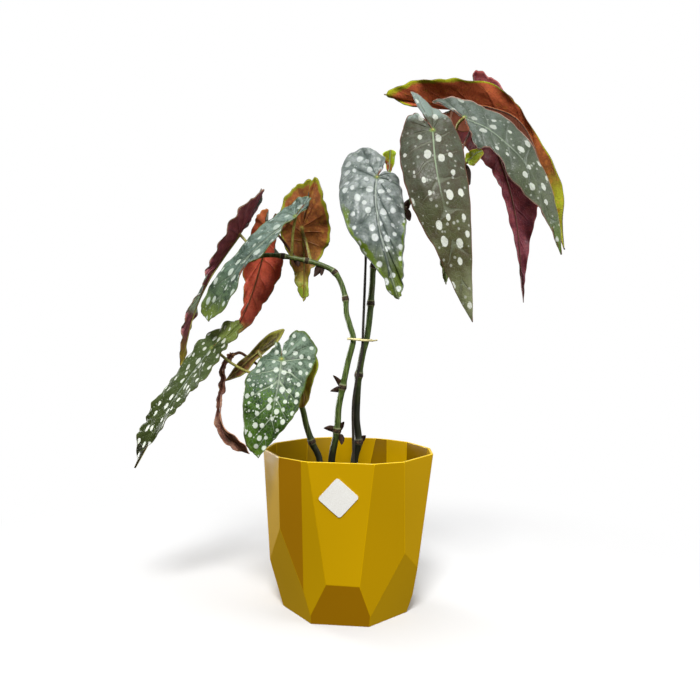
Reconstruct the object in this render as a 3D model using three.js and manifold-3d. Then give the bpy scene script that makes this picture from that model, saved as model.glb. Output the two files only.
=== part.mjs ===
// A potted polka-dot begonia: three cane stems with wing-shaped spotted leaves, a support stake and a tie,
// in a grower's pot that stands inside a faceted ochre cover pot. Millimetres, +Z up, the origin in the
// middle of the pot's foot on the floor, the front of the plant towards -Y.

import * as THREE from "three";
import { mergeVertices } from "three/addons/utils/BufferGeometryUtils.js";
import Module from "manifold-3d";

const wasm = await Module();
wasm.setup();

// Cover pot: fourteen rim corners over a seven-cornered foot
const POT_HEIGHT = 129;
const RIM_RADIUS = 70;
const FOOT_RADIUS = 51.9;
const FOOT_TURN = -31;
const WALL = 2;
const FLOOR = 3;
const RIM_CORNERS = [-50.4, -30.4, -25.9, 15.9, 36.9, 76.4, 100.9, 130.9, 149.5, 159.3, 193.4, 213.1, 246.8, 276.0];
const RIM_SLOPES = [0.118, 0.129, 0.074, 0.117, 0.052, 0.126, 0.07, 0.11, 0.13, 0.06, 0.115, 0.07, 0.068, 0.073];
const FOOT_SLOPES = [0.334, 0.295, 0.27, 0.31, 0.28, 0.3, 0.243];

// Sticker on the facet between the third and fourth rim corners
const LABEL_SIDE = 22;
const LABEL_CORNER = 2;
const LABEL_THICKNESS = 0.6;
const LABEL_HEIGHT = 102.5;
const LABEL_TURN = 49;
const LABEL_ACROSS = -1.5;

// Grower's pot and soil
const INNER_POT_TOP = 101;
const INNER_POT_FOOT_RADIUS = 41;
const INNER_POT_RIM_RADIUS = 58.5;
const INNER_POT_WALL = 1.2;
const SOIL_TOP = 92;
const SOIL_BUMP = 1.6;

// Gap kept between neighbouring pieces
const GAP = 0.3;

// Stake and tie
const STAKE_RADIUS = 1.15;
const TIE_RADIUS = 0.65;

// Leaf blades
const BLADE_THICKNESS = 0.7;
const ALONG_STEPS = 16;
const SMALL_ALONG_STEPS = 8;
const SMALL_LEAF = 45;
const ACROSS_STEPS = 2;
const RIB_START = 0.4;
const RIB_POWER = 1.5;
const CURL_START = 0.3;
const FRAME_STEPS = 60;
const STALK_REACH = 0.8;

const GREEN_STEM = { color: 0x55703a, roughness: 0.5, metalness: 0 };
const DARK_STEM = { color: 0x2c3324, roughness: 0.5, metalness: 0 };
const OCHRE = { color: 0xb48e08, roughness: 0.4, metalness: 0 };
const BLACK_PLASTIC = { color: 0x141414, roughness: 0.6, metalness: 0 };
const SOIL_BROWN = { color: 0x3a2a1c, roughness: 1, metalness: 0 };
const WHITE_PAPER = { color: 0xf4f3ee, roughness: 0.5, metalness: 0 };
const PALE_TIE = { color: 0xd8cf9a, roughness: 0.5, metalness: 0 };

const LEAF_COLOURS = {
  silver: 0x98a7a0,
  grey: 0x6d7a62,
  olive: 0x4e5c34,
  green: 0x5f7a3c,
  lime: 0x8fa426,
  maroon: 0x5e2a2e,
  brick: 0xa24a2a,
  brown: 0x7c4422,
  dried: 0x6a3d28,
};

// Stems: the axis points, the thickness at the foot and at the tip, and the places of the ringed nodes
const STEMS = [
  {
    name: "stem_short",
    material: DARK_STEM,
    radius: [3.2, 2.2],
    points: [[-23, -4, 58], [-22, 0, 92], [-24, 2, 119], [-30, 0, 133], [-35, -3, 148], [-39, -6, 164],
      [-47, -10, 178], [-60, -12, 189], [-70, -12, 195]],
    nodes: [44, 79, 122],
    stipules: [
      { at: [-60, -12, 189], to: [-62, -15, 182], radius: 1.2 },
    ],
  },
  {
    name: "stem_middle",
    material: GREEN_STEM,
    radius: [3.4, 1.9],
    points: [[-13, 10, 58], [-13, 8, 92], [-14, 5, 119], [-10, 2, 144], [-9, 0, 163], [-6, -2, 180], [-2, -4, 201],
      [2, -5, 219], [-1, -5, 231], [-4, -4, 241], [-5, -3, 253], [-9, -1, 266], [-15, 0, 275], [-25, 0, 280],
      [-35, 1, 283], [-46, 1, 285], [-59, 0, 287], [-72, -1, 287], [-84, -2, 283]],
    nodes: [87, 124, 198, 222, 247, 267, 292],
    stipules: [
      { at: [-10, 2, 144], to: [-21, 0, 146], radius: 1.6 },
      { at: [-10, 1, 143], to: [-4, -4, 152], radius: 1.5 },
      { at: [-8, 0, 141], to: [-6, -4, 133], radius: 1.4 },
      { at: [-6, -2, 179], to: [-16, -5, 177], radius: 1.4 },
      { at: [-6, -2, 180], to: [-14, -4, 190], radius: 1.3 },
      { at: [-27, 0, 280], to: [-31, -3, 270], radius: 1.5 },
      { at: [-26, 0, 280], to: [-25, -3, 271], radius: 1.3 },
      { at: [-47, 1, 285], to: [-44, -2, 278], radius: 1.4 },
    ],
  },
  {
    name: "stem_right",
    material: DARK_STEM,
    radius: [3.6, 2.1],
    points: [[3, 9, 58], [4, 8, 92], [5, 8, 119], [8, 7, 134], [6, 6, 152], [6, 6, 167], [7, 5, 188], [10, 4, 208],
      [13, 4, 220], [15, 4, 236], [16, 5, 250], [17, 6, 266], [18, 6, 281], [25, 8, 302], [42, 10, 328],
      [55, 10, 344], [71, 8, 359], [82, 4, 364], [89, -2, 363.5]],
    nodes: [77, 133, 193, 224, 279, 315, 336],
    stipules: [
      { at: [8, 7, 134], to: [14, 4, 140], radius: 1.4 },
      { at: [42, 10, 328], to: [47, 6, 318], radius: 1.8 },
      { at: [42, 9, 328], to: [45, 3, 335], radius: 1.6 },
      { at: [88, -1, 363], to: [94, -6, 346], radius: 2.2 },
    ],
  },
];

// Leaves. spine: the midrib from the stalk to the tip. face: the way the upper side looks at the stalk.
// left and right: half outlines in the leaf's own plane, millimetres along the midrib and across it, from the
// stalk round the basal lobe to the tip. fold and roll: degrees between the halves and of the margins' curl.
// lift: degrees that the basal lobes rise. wave: height and number of the margin's waves. stalk: the way of
// the leaf stalk from the stem.
const LEAVES = [
  {
    name: "leaf_front_spotted", colour: "green", stem: "stem_short",
    spine: [[-53, -40, 204], [-54, -53, 185], [-59, -58, 159], [-68, -55, 130]],
    face: [0, -1, 0.35], fold: [-8, -8], roll: [-28, -28], lift: [12, 12], wave: [1.2, 4],
    left: [[-12, -2], [-15, -6], [-8, -7], [-2, -16], [18, -28], [49, -25], [72, -15], [79, -6]],
    right: [[-15, 1], [-26, 10], [-22, 22], [-8, 28], [20, 20], [40, 18], [58, 10], [71, 4]],
    stalk: [[-62, -12, 190], [-59, -22, 200]],
  },
  {
    name: "leaf_low_left", colour: "olive", stem: "stem_short",
    spine: [[-110, -22, 211], [-126, -28, 188], [-144, -34, 159], [-166, -36, 117]],
    face: [-0.5, -0.5, 0.6], fold: [10, 0], roll: [5, -5], lift: [12, 12], wave: [1.4, 5],
    left: [[-15, 7], [-28, 12], [-18, -8], [3, -15], [32, -19], [63, -18], [81, -19], [94, -13]],
    right: [[-14, 9.5], [-27, 18.5], [-13, 20], [3, 16], [28, 21], [47, 14], [66, 12], [89, 1]],
    stalk: [[-69, -12, 194.5], [-80, -17, 192], [-94, -21, 199], [-104, -23, 207]],
  },
  {
    name: "leaf_large_hanging", colour: "grey", stem: "stem_right",
    spine: [[59, -44, 380], [61, -60, 347], [70, -66, 306], [90, -60, 235]],
    face: [0, -1, 0.2], fold: [-8, -8], roll: [-28, -28], lift: [10, -18], wave: [1.2, 4],
    left: [[-8, -4], [-17, -11], [-12, -20], [7, -26], [38, -26], [66, -22], [96, -14], [128, -7]],
    right: [[-16, -6], [-42, -14], [-27, 2], [-13, 13], [9, 24], [43, 25], [83, 18], [127, 7]],
    stalk: [[70, 8, 358], [66, -12, 372], [60, -32, 382]],
  },
  {
    name: "leaf_silver", colour: "silver", stem: "stem_right",
    spine: [[18, -32, 346], [17, -46, 326], [22, -56, 295], [35, -58, 251]],
    face: [0, -0.9, 0.5], fold: [-8, -8], roll: [-28, -28], lift: [12, 12], wave: [1.2, 4],
    left: [[-10, 4], [-22, 4], [-30, -14], [-20, -30], [16, -30], [49, -22], [75, -10], [96, -5]],
    right: [[-5, 5], [-6, 13], [3, 21], [39, 24], [64, 17], [82, 10], [94, 6], [100, 3]],
    stalk: [[18, 6, 281], [17, -10, 312], [18, -22, 340]],
  },
  {
    name: "leaf_large_right", colour: "grey", stem: "stem_right",
    spine: [[85, -28, 394], [108, -38, 379], [136, -44, 347], [160, -40, 288]],
    face: [0.1, -0.8, 0.55], fold: [-10, 6], roll: [-25, 0], lift: [5, -10], wave: [1.2, 4],
    left: [[2, -2], [6, -5.5], [14, -12], [26, -18], [37, -12], [66, -16], [98, -7], [121, -1]],
    right: [[-3, 0.3], [-14, 1.8], [-33, 5], [-23, 11], [-2, 19], [26, 19], [62, 13], [102, 10]],
    stalk: [[80, 5, 363], [80, -8, 378], [81, -20, 390]],
  },
  {
    name: "leaf_top_red", colour: "brown", stem: "stem_right",
    spine: [[81, 14, 412], [113, 16, 415], [145, 10, 391], [170, -12, 295]],
    face: [0.1, 0.62, 0.7], fold: [0, -50], roll: [0, -20], lift: [5, 5], wave: [1.6, 5],
    left: [[-28, -5], [-51, -14], [-57, -19], [-38, -27], [-3, -30], [36, -17], [72, -6], [131, -13]],
    right: [[-8, 3], [-20, 9], [-17, 15], [2, 19], [36, 22], [76, 20], [112, 14], [146, 7]],
    stalk: [[75, 7, 361], [77, 12, 385], [79, 14, 402]],
  },
  {
    name: "leaf_back_maroon", colour: "maroon", stem: "stem_right",
    spine: [[106, 36, 412], [128, 46, 378], [144, 50, 327], [151, 44, 254]],
    face: [0, 1, 0.2], fold: [-8, -8], roll: [-28, -28], lift: [12, 12], wave: [1.2, 4],
    left: [[-18, -6], [-34, -16], [-21, -26], [2, -31], [38, -34], [76, -26], [108, -13], [145, -4]],
    right: [[-10, 7], [-16, 17], [-9, 27], [11, 24], [36, 14], [61, 8], [99, 6], [136, 2]],
    stalk: [[84, 2, 364], [92, 18, 384], [101, 31, 403]],
  },
  {
    name: "leaf_small_olive", colour: "olive", stem: "stem_short",
    spine: [[-75, -6, 208], [-83, -6, 201], [-90, -7, 194], [-101, -10, 184]],
    face: [0, 1, 0.3], fold: [-8, -8], roll: [-28, -28], lift: [12, 12], wave: [0.6, 3],
    left: [[-9, -0.5], [-27, -2], [-18, -4], [-6, -4], [6, -4], [16, -6], [23, -5.5], [29, -3]],
    right: [[-9, 0.5], [-27, 2], [-17, 8], [-3, 8], [7, 4], [16, 5], [23, 4], [29, 2]],
    stalk: [[-67, -11, 193.5], [-71, -9, 201]],
  },
  {
    name: "leaf_brick_red", colour: "brick", stem: "stem_middle",
    spine: [[-71, 14, 310], [-77, 24, 284], [-87, 28, 251], [-101, 26, 218]],
    face: [0, 1, 0.25], fold: [-8, -8], roll: [-28, -28], lift: [12, 12], wave: [1.2, 4],
    left: [[-8, -2], [-15, -4], [-6, -9], [16, -9], [24, -19], [42, -18], [64, -12], [82, -9]],
    right: [[-6, 3], [-17, 3], [-12, 10], [3, 13], [37, 13], [60, 6], [79, 2], [89, 1]],
    stalk: [[-46, 1, 285], [-53, 6, 294], [-62, 10, 305]],
  },
  {
    name: "leaf_brown_red", colour: "brown", stem: "stem_middle",
    spine: [[-43, 22, 313], [-42, 30, 299], [-41, 32, 278], [-41, 28, 251]],
    face: [0, 1, 0.3], fold: [-8, -8], roll: [-28, -28], lift: [12, 12], wave: [1.4, 5],
    left: [[-20, -6.2], [-43, -14], [-28, -21], [-7, -26], [13, -24], [30, -13], [42, -4], [58, -4]],
    right: [[-20, -5.4], [-39, -10.2], [-36, 2], [-24, 15], [-1, 20], [25, 14], [41, 9], [53, 6]],
    stalk: [[-34, 1, 283], [-38, 10, 298], [-42, 17, 309]],
  },
  {
    name: "leaf_grey_green", colour: "silver", stem: "stem_middle",
    spine: [[-46, -14, 317], [-70, -24, 295], [-93, -30, 268], [-111, -32, 232]],
    face: [-0.3, -0.6, 0.6], fold: [10, 0], roll: [5, -5], lift: [12, 12], wave: [1.2, 4],
    left: [[-11, -2.8], [-21, -5.6], [-13, -13], [9, -17], [34, -14], [62, -13], [83, -14], [105, -13]],
    right: [[-9, -1.2], [-21, -2], [-12, 1], [8, 3], [36, 10], [57, 5], [75, 10], [99, 8]],
    stalk: [[-50, 1, 286], [-49, -4, 294], [-48, -9, 306]],
  },
  {
    name: "leaf_far_left", colour: "maroon", stem: "stem_middle",
    spine: [[-93, 4, 304], [-106, 0, 284], [-118, -4, 263], [-129, -6, 235], [-138, -4, 195]],
    face: [-0.85, 0.2, 0.6], fold: [20, 6], roll: [8, -8], lift: [12, 12], wave: [1.4, 5],
    left: [[-19, -1.2], [-42, -4], [-18, -23], [11, -25], [36, -12], [55, -13], [81, -12], [102, -10]],
    right: [[-19, 1.2], [-42, 4], [-18, 23], [11, 25], [36, 10], [55, 11], [81, 12], [102, 10]],
    stalk: [[-78, -1, 285.5], [-83, 1, 292], [-88, 3, 299]],
  },
  {
    name: "leaf_behind_spotted", colour: "olive", stem: "stem_short",
    spine: [[-49, -16, 198], [-43, -17, 187], [-37, -18, 175], [-37, -20, 165]],
    face: [0, 0.9, 0.4], fold: [-4, -4], roll: [-15, -15], lift: [12, 12], wave: [0.8, 3],
    left: [[-4, -11], [-1, -22], [6, -25], [13, -21], [20, -13], [25, -7], [30, -4], [35, -2]],
    right: [[-6, 1], [-12, 3], [-5, 6], [3, 8], [12, 8], [20, 8], [31, 6], [36, 3]],
    stalk: [[-47, -10, 178], [-50, -13, 188]],
  },
  {
    name: "leaf_young_funnel", colour: "lime", stem: "stem_right",
    spine: [[28.5, -14, 353], [28.5, -14, 359], [28.5, -15, 365], [28.5, -16, 371]],
    face: [0, -0.9, 0.2], fold: [35, 35], roll: [25, 25], lift: [5, 5], wave: [0.3, 2],
    left: [[0, -0.4], [0, -0.8], [1, -1.2], [3, -2], [7, -4], [12, -5], [16, -6], [18, -3]],
    right: [[0, 0.4], [0, 0.8], [1, 1.2], [3, 3], [7, 4], [12, 7], [15, 8], [17, 4]],
    stalk: [[41, 10, 327], [38, 0, 338], [31, -9, 347]],
  },
  {
    name: "growing_tip", colour: "lime", stem: "stem_right",
    spine: [[92, -6, 364.5], [95, -8, 368], [98, -9, 371], [103, -10, 373]],
    face: [0, -0.8, 0.5], fold: [12, 12], roll: [20, 20], lift: [10, 10], wave: [0.5, 2],
    left: [[0, -2], [0, -4], [1, -6], [3, -8], [6, -9], [10, -9], [13, -6], [15, -3]],
    right: [[-1, 1], [-1, 3], [1, 4], [4, 5], [6, 5], [8, 5], [10, 4], [14, 2]],
    stalk: [[87, -1, 363.5], [89.5, -4, 363.5]],
  },
  {
    name: "leaf_narrow_hidden", colour: "lime", stem: "stem_right",
    spine: [[65, -34, 332], [68, -36, 310], [71, -36, 289], [73, -34, 264]],
    face: [0, -1, 0.1], fold: [-5, -5], roll: [-20, -20], lift: [12, 12], wave: [0.8, 4],
    left: [[-5, -2], [-7, -6], [-3, -8], [6, -8], [22, -7], [42, -5], [56, -3], [64, -2]],
    right: [[-4, 3], [-6, 7], [-1, 9], [7, 9], [23, 8], [43, 6], [56, 5], [64, 2]],
    stalk: [[55, 10, 344], [59, -8, 346], [63.5, -25, 342]],
  },
  {
    name: "leaf_dried", colour: "dried", stem: "stem_short",
    spine: [[-94, -8, 206], [-102, -9, 196], [-102, -10, 183], [-105, -12, 167], [-102, -14, 145], [-80, -14, 126]],
    face: [-0.3, -0.8, 0.3], fold: [30, 30], roll: [40, 40], lift: [12, 12], wave: [1.2, 4],
    left: [[0, -1], [1, -2], [4, -3], [12, -3], [25, -4], [43, -3], [63, -4], [82, -6]],
    right: [[0, 1], [1, 2], [5, 3], [14, 3], [27, 4], [42, 6], [65, 10], [84, 12]],
    stalk: [[-64, -12, 191.5], [-74, -1, 196], [-84, 0, 203], [-90, -4, 207]],
  },
];

const radians = (degrees) => THREE.MathUtils.degToRad(degrees);
const vector = (xyz) => new THREE.Vector3(xyz[0], xyz[1], xyz[2]);

function curveThrough(points) {
  return new THREE.CatmullRomCurve3(points.map(vector), false, "catmullrom", 0.5);
}

function toSolid(geometry) {
  const bare = geometry.clone();
  bare.deleteAttribute("normal");
  bare.deleteAttribute("uv");
  const merged = mergeVertices(bare, 1e-4);
  const mesh = new wasm.Mesh({
    numProp: 3,
    vertProperties: new Float32Array(merged.attributes.position.array),
    triVerts: new Uint32Array(merged.index.array),
  });
  return new wasm.Manifold(mesh);
}

function toGeometry(solid) {
  const mesh = solid.getMesh();
  const geometry = new THREE.BufferGeometry();
  geometry.setAttribute("position", new THREE.BufferAttribute(new Float32Array(mesh.vertProperties), 3));
  geometry.setIndex(new THREE.BufferAttribute(new Uint32Array(mesh.triVerts), 1));
  geometry.computeVertexNormals();
  return geometry;
}

function meshOf(name, geometry, look) {
  const mesh = new THREE.Mesh(geometry, new THREE.MeshStandardMaterial(look));
  mesh.name = name;
  return mesh;
}

// A solid round bar through the points, each with its own radius, closed at both ends
function bar(points, radii, sides) {
  const positions = [];
  const index = [];
  const normal = new THREE.Vector3(0, 1, 0);
  points.forEach((point, i) => {
    const before = points[Math.max(i - 1, 0)];
    const after = points[Math.min(i + 1, points.length - 1)];
    const tangent = after.clone().sub(before).normalize();
    if (i === 0 && Math.abs(tangent.y) > 0.9) {
      normal.set(1, 0, 0);
    }
    normal.addScaledVector(tangent, -normal.dot(tangent)).normalize();
    const side = tangent.clone().cross(normal);
    for (let k = 0; k < sides; k += 1) {
      const angle = (2 * Math.PI * k) / sides;
      const place = point.clone();
      place.addScaledVector(normal, radii[i] * Math.cos(angle));
      place.addScaledVector(side, radii[i] * Math.sin(angle));
      positions.push(place.x, place.y, place.z);
    }
  });
  const last = points.length - 1;
  for (let i = 0; i < last; i += 1) {
    for (let k = 0; k < sides; k += 1) {
      const a = i * sides + k;
      const b = i * sides + ((k + 1) % sides);
      index.push(a, b, b + sides, a, b + sides, a + sides);
    }
  }
  for (let k = 1; k < sides - 1; k += 1) {
    index.push(0, k + 1, k);
    index.push(last * sides, last * sides + k, last * sides + k + 1);
  }
  const geometry = new THREE.BufferGeometry();
  geometry.setAttribute("position", new THREE.Float32BufferAttribute(positions, 3));
  geometry.setIndex(index);
  return geometry;
}

// A stem with a swelling ring at each node; extra widens it all over
function stemSolid(stem, extra) {
  const curve = curveThrough(stem.points);
  const length = curve.getLength();
  curve.arcLengthDivisions = 800;
  curve.updateArcLengths();
  const places = new Set();
  for (let d = 0; d <= length; d += 11) {
    if (stem.nodes.every((node) => Math.abs(node - d) > 6)) {
      places.add(d);
    }
  }
  places.add(0);
  places.add(length);
  stem.nodes.forEach((node) => [-3, 0, 3].forEach((step) => places.add(node + step)));
  const order = [...places].sort((a, b) => a - b);
  const points = order.map((d) => curve.getPointAt(Math.min(d / length, 1)));
  const radii = order.map((d) => {
    const plain = THREE.MathUtils.lerp(stem.radius[0], stem.radius[1], d / length);
    const onNode = stem.nodes.some((node) => Math.abs(node - d) < 0.5);
    return plain * (onNode ? 1.28 : 1) + extra;
  });
  return toSolid(bar(points, radii, 8));
}

function stipuleSolid(stipule, extra) {
  const from = vector(stipule.at);
  const to = vector(stipule.to);
  const middle = from.clone().lerp(to, 0.5).add(new THREE.Vector3(0, 0, 0.8));
  const radii = [stipule.radius, stipule.radius * 0.8, 0.35].map((radius) => radius + extra);
  return toSolid(bar([from, middle, to], radii, 5));
}

// Places, tangents and upward normals at even steps along a leaf's midrib
function spineFrames(leaf) {
  const curve = curveThrough(leaf.spine);
  curve.arcLengthDivisions = 400;
  const length = curve.getLength();
  const frames = [];
  const normal = vector(leaf.face).normalize();
  for (let i = 0; i <= FRAME_STEPS; i += 1) {
    const share = i / FRAME_STEPS;
    const place = curve.getPointAt(share);
    const tangent = curve.getTangentAt(share);
    normal.addScaledVector(tangent, -normal.dot(tangent)).normalize();
    frames.push({ place, tangent, normal: normal.clone(), side: normal.clone().cross(tangent) });
  }
  return { frames, length };
}

function frameAt(spine, along) {
  const x = (THREE.MathUtils.clamp(along, 0, spine.length) / spine.length) * FRAME_STEPS;
  const i = Math.min(Math.floor(x), FRAME_STEPS - 1);
  const mix = (key) => spine.frames[i][key].clone().lerp(spine.frames[i + 1][key], x - i);
  return {
    place: mix("place"),
    tangent: mix("tangent").normalize(),
    normal: mix("normal").normalize(),
    side: mix("side").normalize(),
  };
}

// Where a point of the leaf's plane lies in space, on the half blade hand (-1 left, 1 right)
function bladePoint(leaf, spine, hand, along, across, outward, around) {
  const half = hand < 0 ? 0 : 1;
  const outline = hand < 0 ? leaf.left : leaf.right;
  const lobe = Math.max(4, ...outline.map((point) => -point[0]));
  const width = Math.max(6, ...outline.map((point) => hand * point[1]));
  const frame = frameAt(spine, along);
  const place = frame.place.clone();
  place.addScaledVector(frame.tangent, Math.max(along - spine.length, 0));

  // The basal lobe rises on an arc behind the stalk
  const back = Math.max(-along, 0);
  const bend = radians(leaf.lift[half]) / lobe || 1e-6;
  const rise = bend * back;
  place.addScaledVector(frame.tangent, -Math.sin(rise) / bend);
  place.addScaledVector(frame.normal, (1 - Math.cos(rise)) / bend);
  const up = frame.normal.clone().multiplyScalar(Math.cos(rise)).addScaledVector(frame.tangent, Math.sin(rise));

  // The half blade leaves the midrib at the fold angle and curls towards its margin
  const off = hand * across;
  const fold = radians(leaf.fold[half]);
  const start = CURL_START * width;
  const curl = radians(leaf.roll[half]) / (width - start) || 1e-6;
  const inner = Math.min(off, start);
  const angle = fold + curl * Math.max(off - start, 0);
  const sideways = inner * Math.cos(fold) + (Math.sin(angle) - Math.sin(fold)) / curl;
  let raised = inner * Math.sin(fold) + (Math.cos(fold) - Math.cos(angle)) / curl;
  const phase = hand > 0 ? 0.37 : 0;
  raised += leaf.wave[0] * outward ** 2 * Math.sin(2 * Math.PI * (leaf.wave[1] * around + phase));
  place.addScaledVector(frame.side, hand * sideways);
  place.addScaledVector(up, raised);
  return place;
}

// The thin middle surface of a blade as welded vertices and triangles
function bladeSurface(leaf, spine) {
  const vertices = [];
  const triangles = [];
  const known = new Map();
  const indexOf = (point) => {
    const key = point.toArray().map((value) => Math.round(value * 500)).join(",");
    if (!known.has(key)) {
      known.set(key, vertices.length);
      vertices.push(point);
    }
    return known.get(key);
  };
  const addTriangle = (a, b, c) => {
    if (a !== b && b !== c && c !== a) {
      triangles.push([a, b, c]);
    }
  };
  const steps = spine.length < SMALL_LEAF ? SMALL_ALONG_STEPS : ALONG_STEPS;
  [-1, 1].forEach((hand) => {
    const outline = [[0, 0], ...(hand < 0 ? leaf.left : leaf.right), [spine.length, 0]];
    const edge = curveThrough(outline.map((point) => [point[0], point[1], 0]));
    const rows = [];
    for (let i = 0; i <= steps; i += 1) {
      const around = i / steps;
      const rim = edge.getPoint(around);
      const rib = Math.max((around - RIB_START) / (1 - RIB_START), 0) ** RIB_POWER * spine.length;
      const row = [];
      for (let j = 0; j <= ACROSS_STEPS; j += 1) {
        const outward = j / ACROSS_STEPS;
        const along = THREE.MathUtils.lerp(rib, rim.x, outward);
        row.push(indexOf(bladePoint(leaf, spine, hand, along, rim.y * outward, outward, around)));
      }
      rows.push(row);
    }
    for (let i = 0; i < steps; i += 1) {
      for (let j = 0; j < ACROSS_STEPS; j += 1) {
        const [a, b] = [rows[i][j], rows[i][j + 1]];
        const [c, d] = [rows[i + 1][j + 1], rows[i + 1][j]];
        if (hand > 0) {
          addTriangle(a, c, b);
          addTriangle(a, d, c);
        } else {
          addTriangle(a, b, c);
          addTriangle(a, c, d);
        }
      }
    }
  });
  return { vertices, triangles };
}

// A surface given thickness: both faces have the same triangles, joined by a band round the edge
function thicken(surface, thickness) {
  const { vertices, triangles } = surface;
  const normals = vertices.map(() => new THREE.Vector3());
  const edges = new Map();
  triangles.forEach((corners) => {
    const [a, b, c] = corners.map((k) => vertices[k]);
    const normal = b.clone().sub(a).cross(c.clone().sub(a));
    corners.forEach((k, i) => {
      normals[k].add(normal);
      edges.set(`${k},${corners[(i + 1) % 3]}`, [k, corners[(i + 1) % 3]]);
    });
  });
  const count = vertices.length;
  const positions = [];
  [0.5, -0.5].forEach((share) => {
    vertices.forEach((point, k) => {
      const moved = point.clone().addScaledVector(normals[k].clone().normalize(), share * thickness);
      positions.push(moved.x, moved.y, moved.z);
    });
  });
  const index = [];
  triangles.forEach(([a, b, c]) => index.push(a, b, c, a + count, c + count, b + count));
  edges.forEach(([a, b]) => {
    if (!edges.has(`${b},${a}`)) {
      index.push(b, a, a + count, b, a + count, b + count);
    }
  });
  const geometry = new THREE.BufferGeometry();
  geometry.setAttribute("position", new THREE.Float32BufferAttribute(positions, 3));
  geometry.setIndex(index);
  return geometry;
}

// The stalk runs from the stem to the blade and ends a little past the blade's middle surface
function stalkSolid(leaf, spine) {
  const small = spine.length < 25;
  const points = leaf.stalk.map(vector);
  const attach = spine.frames[0].place;
  const direction = attach.clone().sub(points[points.length - 1]).normalize();
  points.push(attach.clone().addScaledVector(direction, small ? 0.8 : STALK_REACH));
  const radii = points.map(() => (small ? 1.0 : 1.3));
  return toSolid(bar(points, radii, 6));
}

function leafMesh(leaf, stems) {
  const spine = spineFrames(leaf);
  const blade = toSolid(thicken(bladeSurface(leaf, spine), BLADE_THICKNESS));
  const grown = blade.add(stalkSolid(leaf, spine)).subtract(stems[leaf.stem]);
  return meshOf(leaf.name, toGeometry(grown), { color: LEAF_COLOURS[leaf.colour], roughness: 0.45, metalness: 0 });
}

// Facet planes of the pot: the way each looks and its distance from the axis, for a rim plane at the top
function potPlanes() {
  const planes = [];
  RIM_CORNERS.forEach((corner, i) => {
    const next = RIM_CORNERS[(i + 1) % RIM_CORNERS.length] + (i === RIM_CORNERS.length - 1 ? 360 : 0);
    const half = radians((next - corner) / 2);
    planes.push({ azimuth: (corner + next) / 2, slope: RIM_SLOPES[i], reach: RIM_RADIUS * Math.cos(half), level: POT_HEIGHT });
  });
  FOOT_SLOPES.forEach((slope, i) => {
    const azimuth = FOOT_TURN + (i + 0.5) * (360 / FOOT_SLOPES.length);
    const reach = FOOT_RADIUS * Math.cos(Math.PI / FOOT_SLOPES.length);
    planes.push({ azimuth, slope, reach, level: 0 });
  });
  return planes;
}

// A box cut by the facet planes, moved inwards by inset
function facetedBody(bottom, top, inset) {
  const box = new THREE.BoxGeometry(200, 200, top - bottom);
  box.translate(0, 0, (top + bottom) / 2);
  let body = toSolid(box);
  potPlanes().forEach((plane) => {
    const turn = radians(plane.azimuth);
    const lean = Math.hypot(1, plane.slope);
    const away = [Math.sin(turn) / lean, -Math.cos(turn) / lean, -plane.slope / lean];
    const reach = (plane.reach - plane.slope * plane.level) / lean - inset;
    body = body.trimByPlane(away.map((value) => -value), -reach);
  });
  return body;
}

function potMesh() {
  const shell = facetedBody(0, POT_HEIGHT, 0).subtract(facetedBody(FLOOR, POT_HEIGHT + 5, WALL));
  return meshOf("pot", toGeometry(shell), OCHRE);
}

function labelMesh() {
  const shape = new THREE.Shape();
  const flat = LABEL_SIDE / 2 - LABEL_CORNER;
  shape.absarc(flat, flat, LABEL_CORNER, 0, Math.PI / 2);
  shape.absarc(-flat, flat, LABEL_CORNER, Math.PI / 2, Math.PI);
  shape.absarc(-flat, -flat, LABEL_CORNER, Math.PI, 1.5 * Math.PI);
  shape.absarc(flat, -flat, LABEL_CORNER, 1.5 * Math.PI, 2 * Math.PI);
  const geometry = new THREE.ExtrudeGeometry(shape, { depth: LABEL_THICKNESS, bevelEnabled: false, curveSegments: 4 });
  const plane = potPlanes()[2];
  const reach = plane.reach - plane.slope * (plane.level - LABEL_HEIGHT) + 0.05;
  geometry.rotateZ(radians(LABEL_TURN));
  geometry.translate(LABEL_ACROSS, 0, 0.1);
  geometry.rotateX(Math.PI / 2 + Math.atan(plane.slope));
  geometry.translate(0, -reach, LABEL_HEIGHT);
  geometry.rotateZ(radians(plane.azimuth));
  return meshOf("label", geometry, WHITE_PAPER);
}

function innerPotProfile() {
  const bottom = FLOOR + GAP;
  const grow = (z) => THREE.MathUtils.mapLinear(z, bottom, INNER_POT_TOP, INNER_POT_FOOT_RADIUS, INNER_POT_RIM_RADIUS - 1.6);
  return { bottom, grow };
}

function nurseryPotMesh() {
  const { bottom, grow } = innerPotProfile();
  const top = INNER_POT_TOP;
  const points = [
    [0, bottom],
    [grow(bottom), bottom],
    [grow(top - 9), top - 9],
    [INNER_POT_RIM_RADIUS, top - 9],
    [INNER_POT_RIM_RADIUS, top],
    [INNER_POT_RIM_RADIUS - 1.8, top],
    [grow(top - 10) - INNER_POT_WALL, top - 10],
    [grow(bottom + 2) - INNER_POT_WALL, bottom + 2],
    [0, bottom + 2],
  ];
  const geometry = new THREE.LatheGeometry(points.map(([r, z]) => new THREE.Vector2(r, z)), 28);
  geometry.rotateX(Math.PI / 2);
  return meshOf("nursery_pot", toGeometry(toSolid(geometry)), BLACK_PLASTIC);
}

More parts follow.
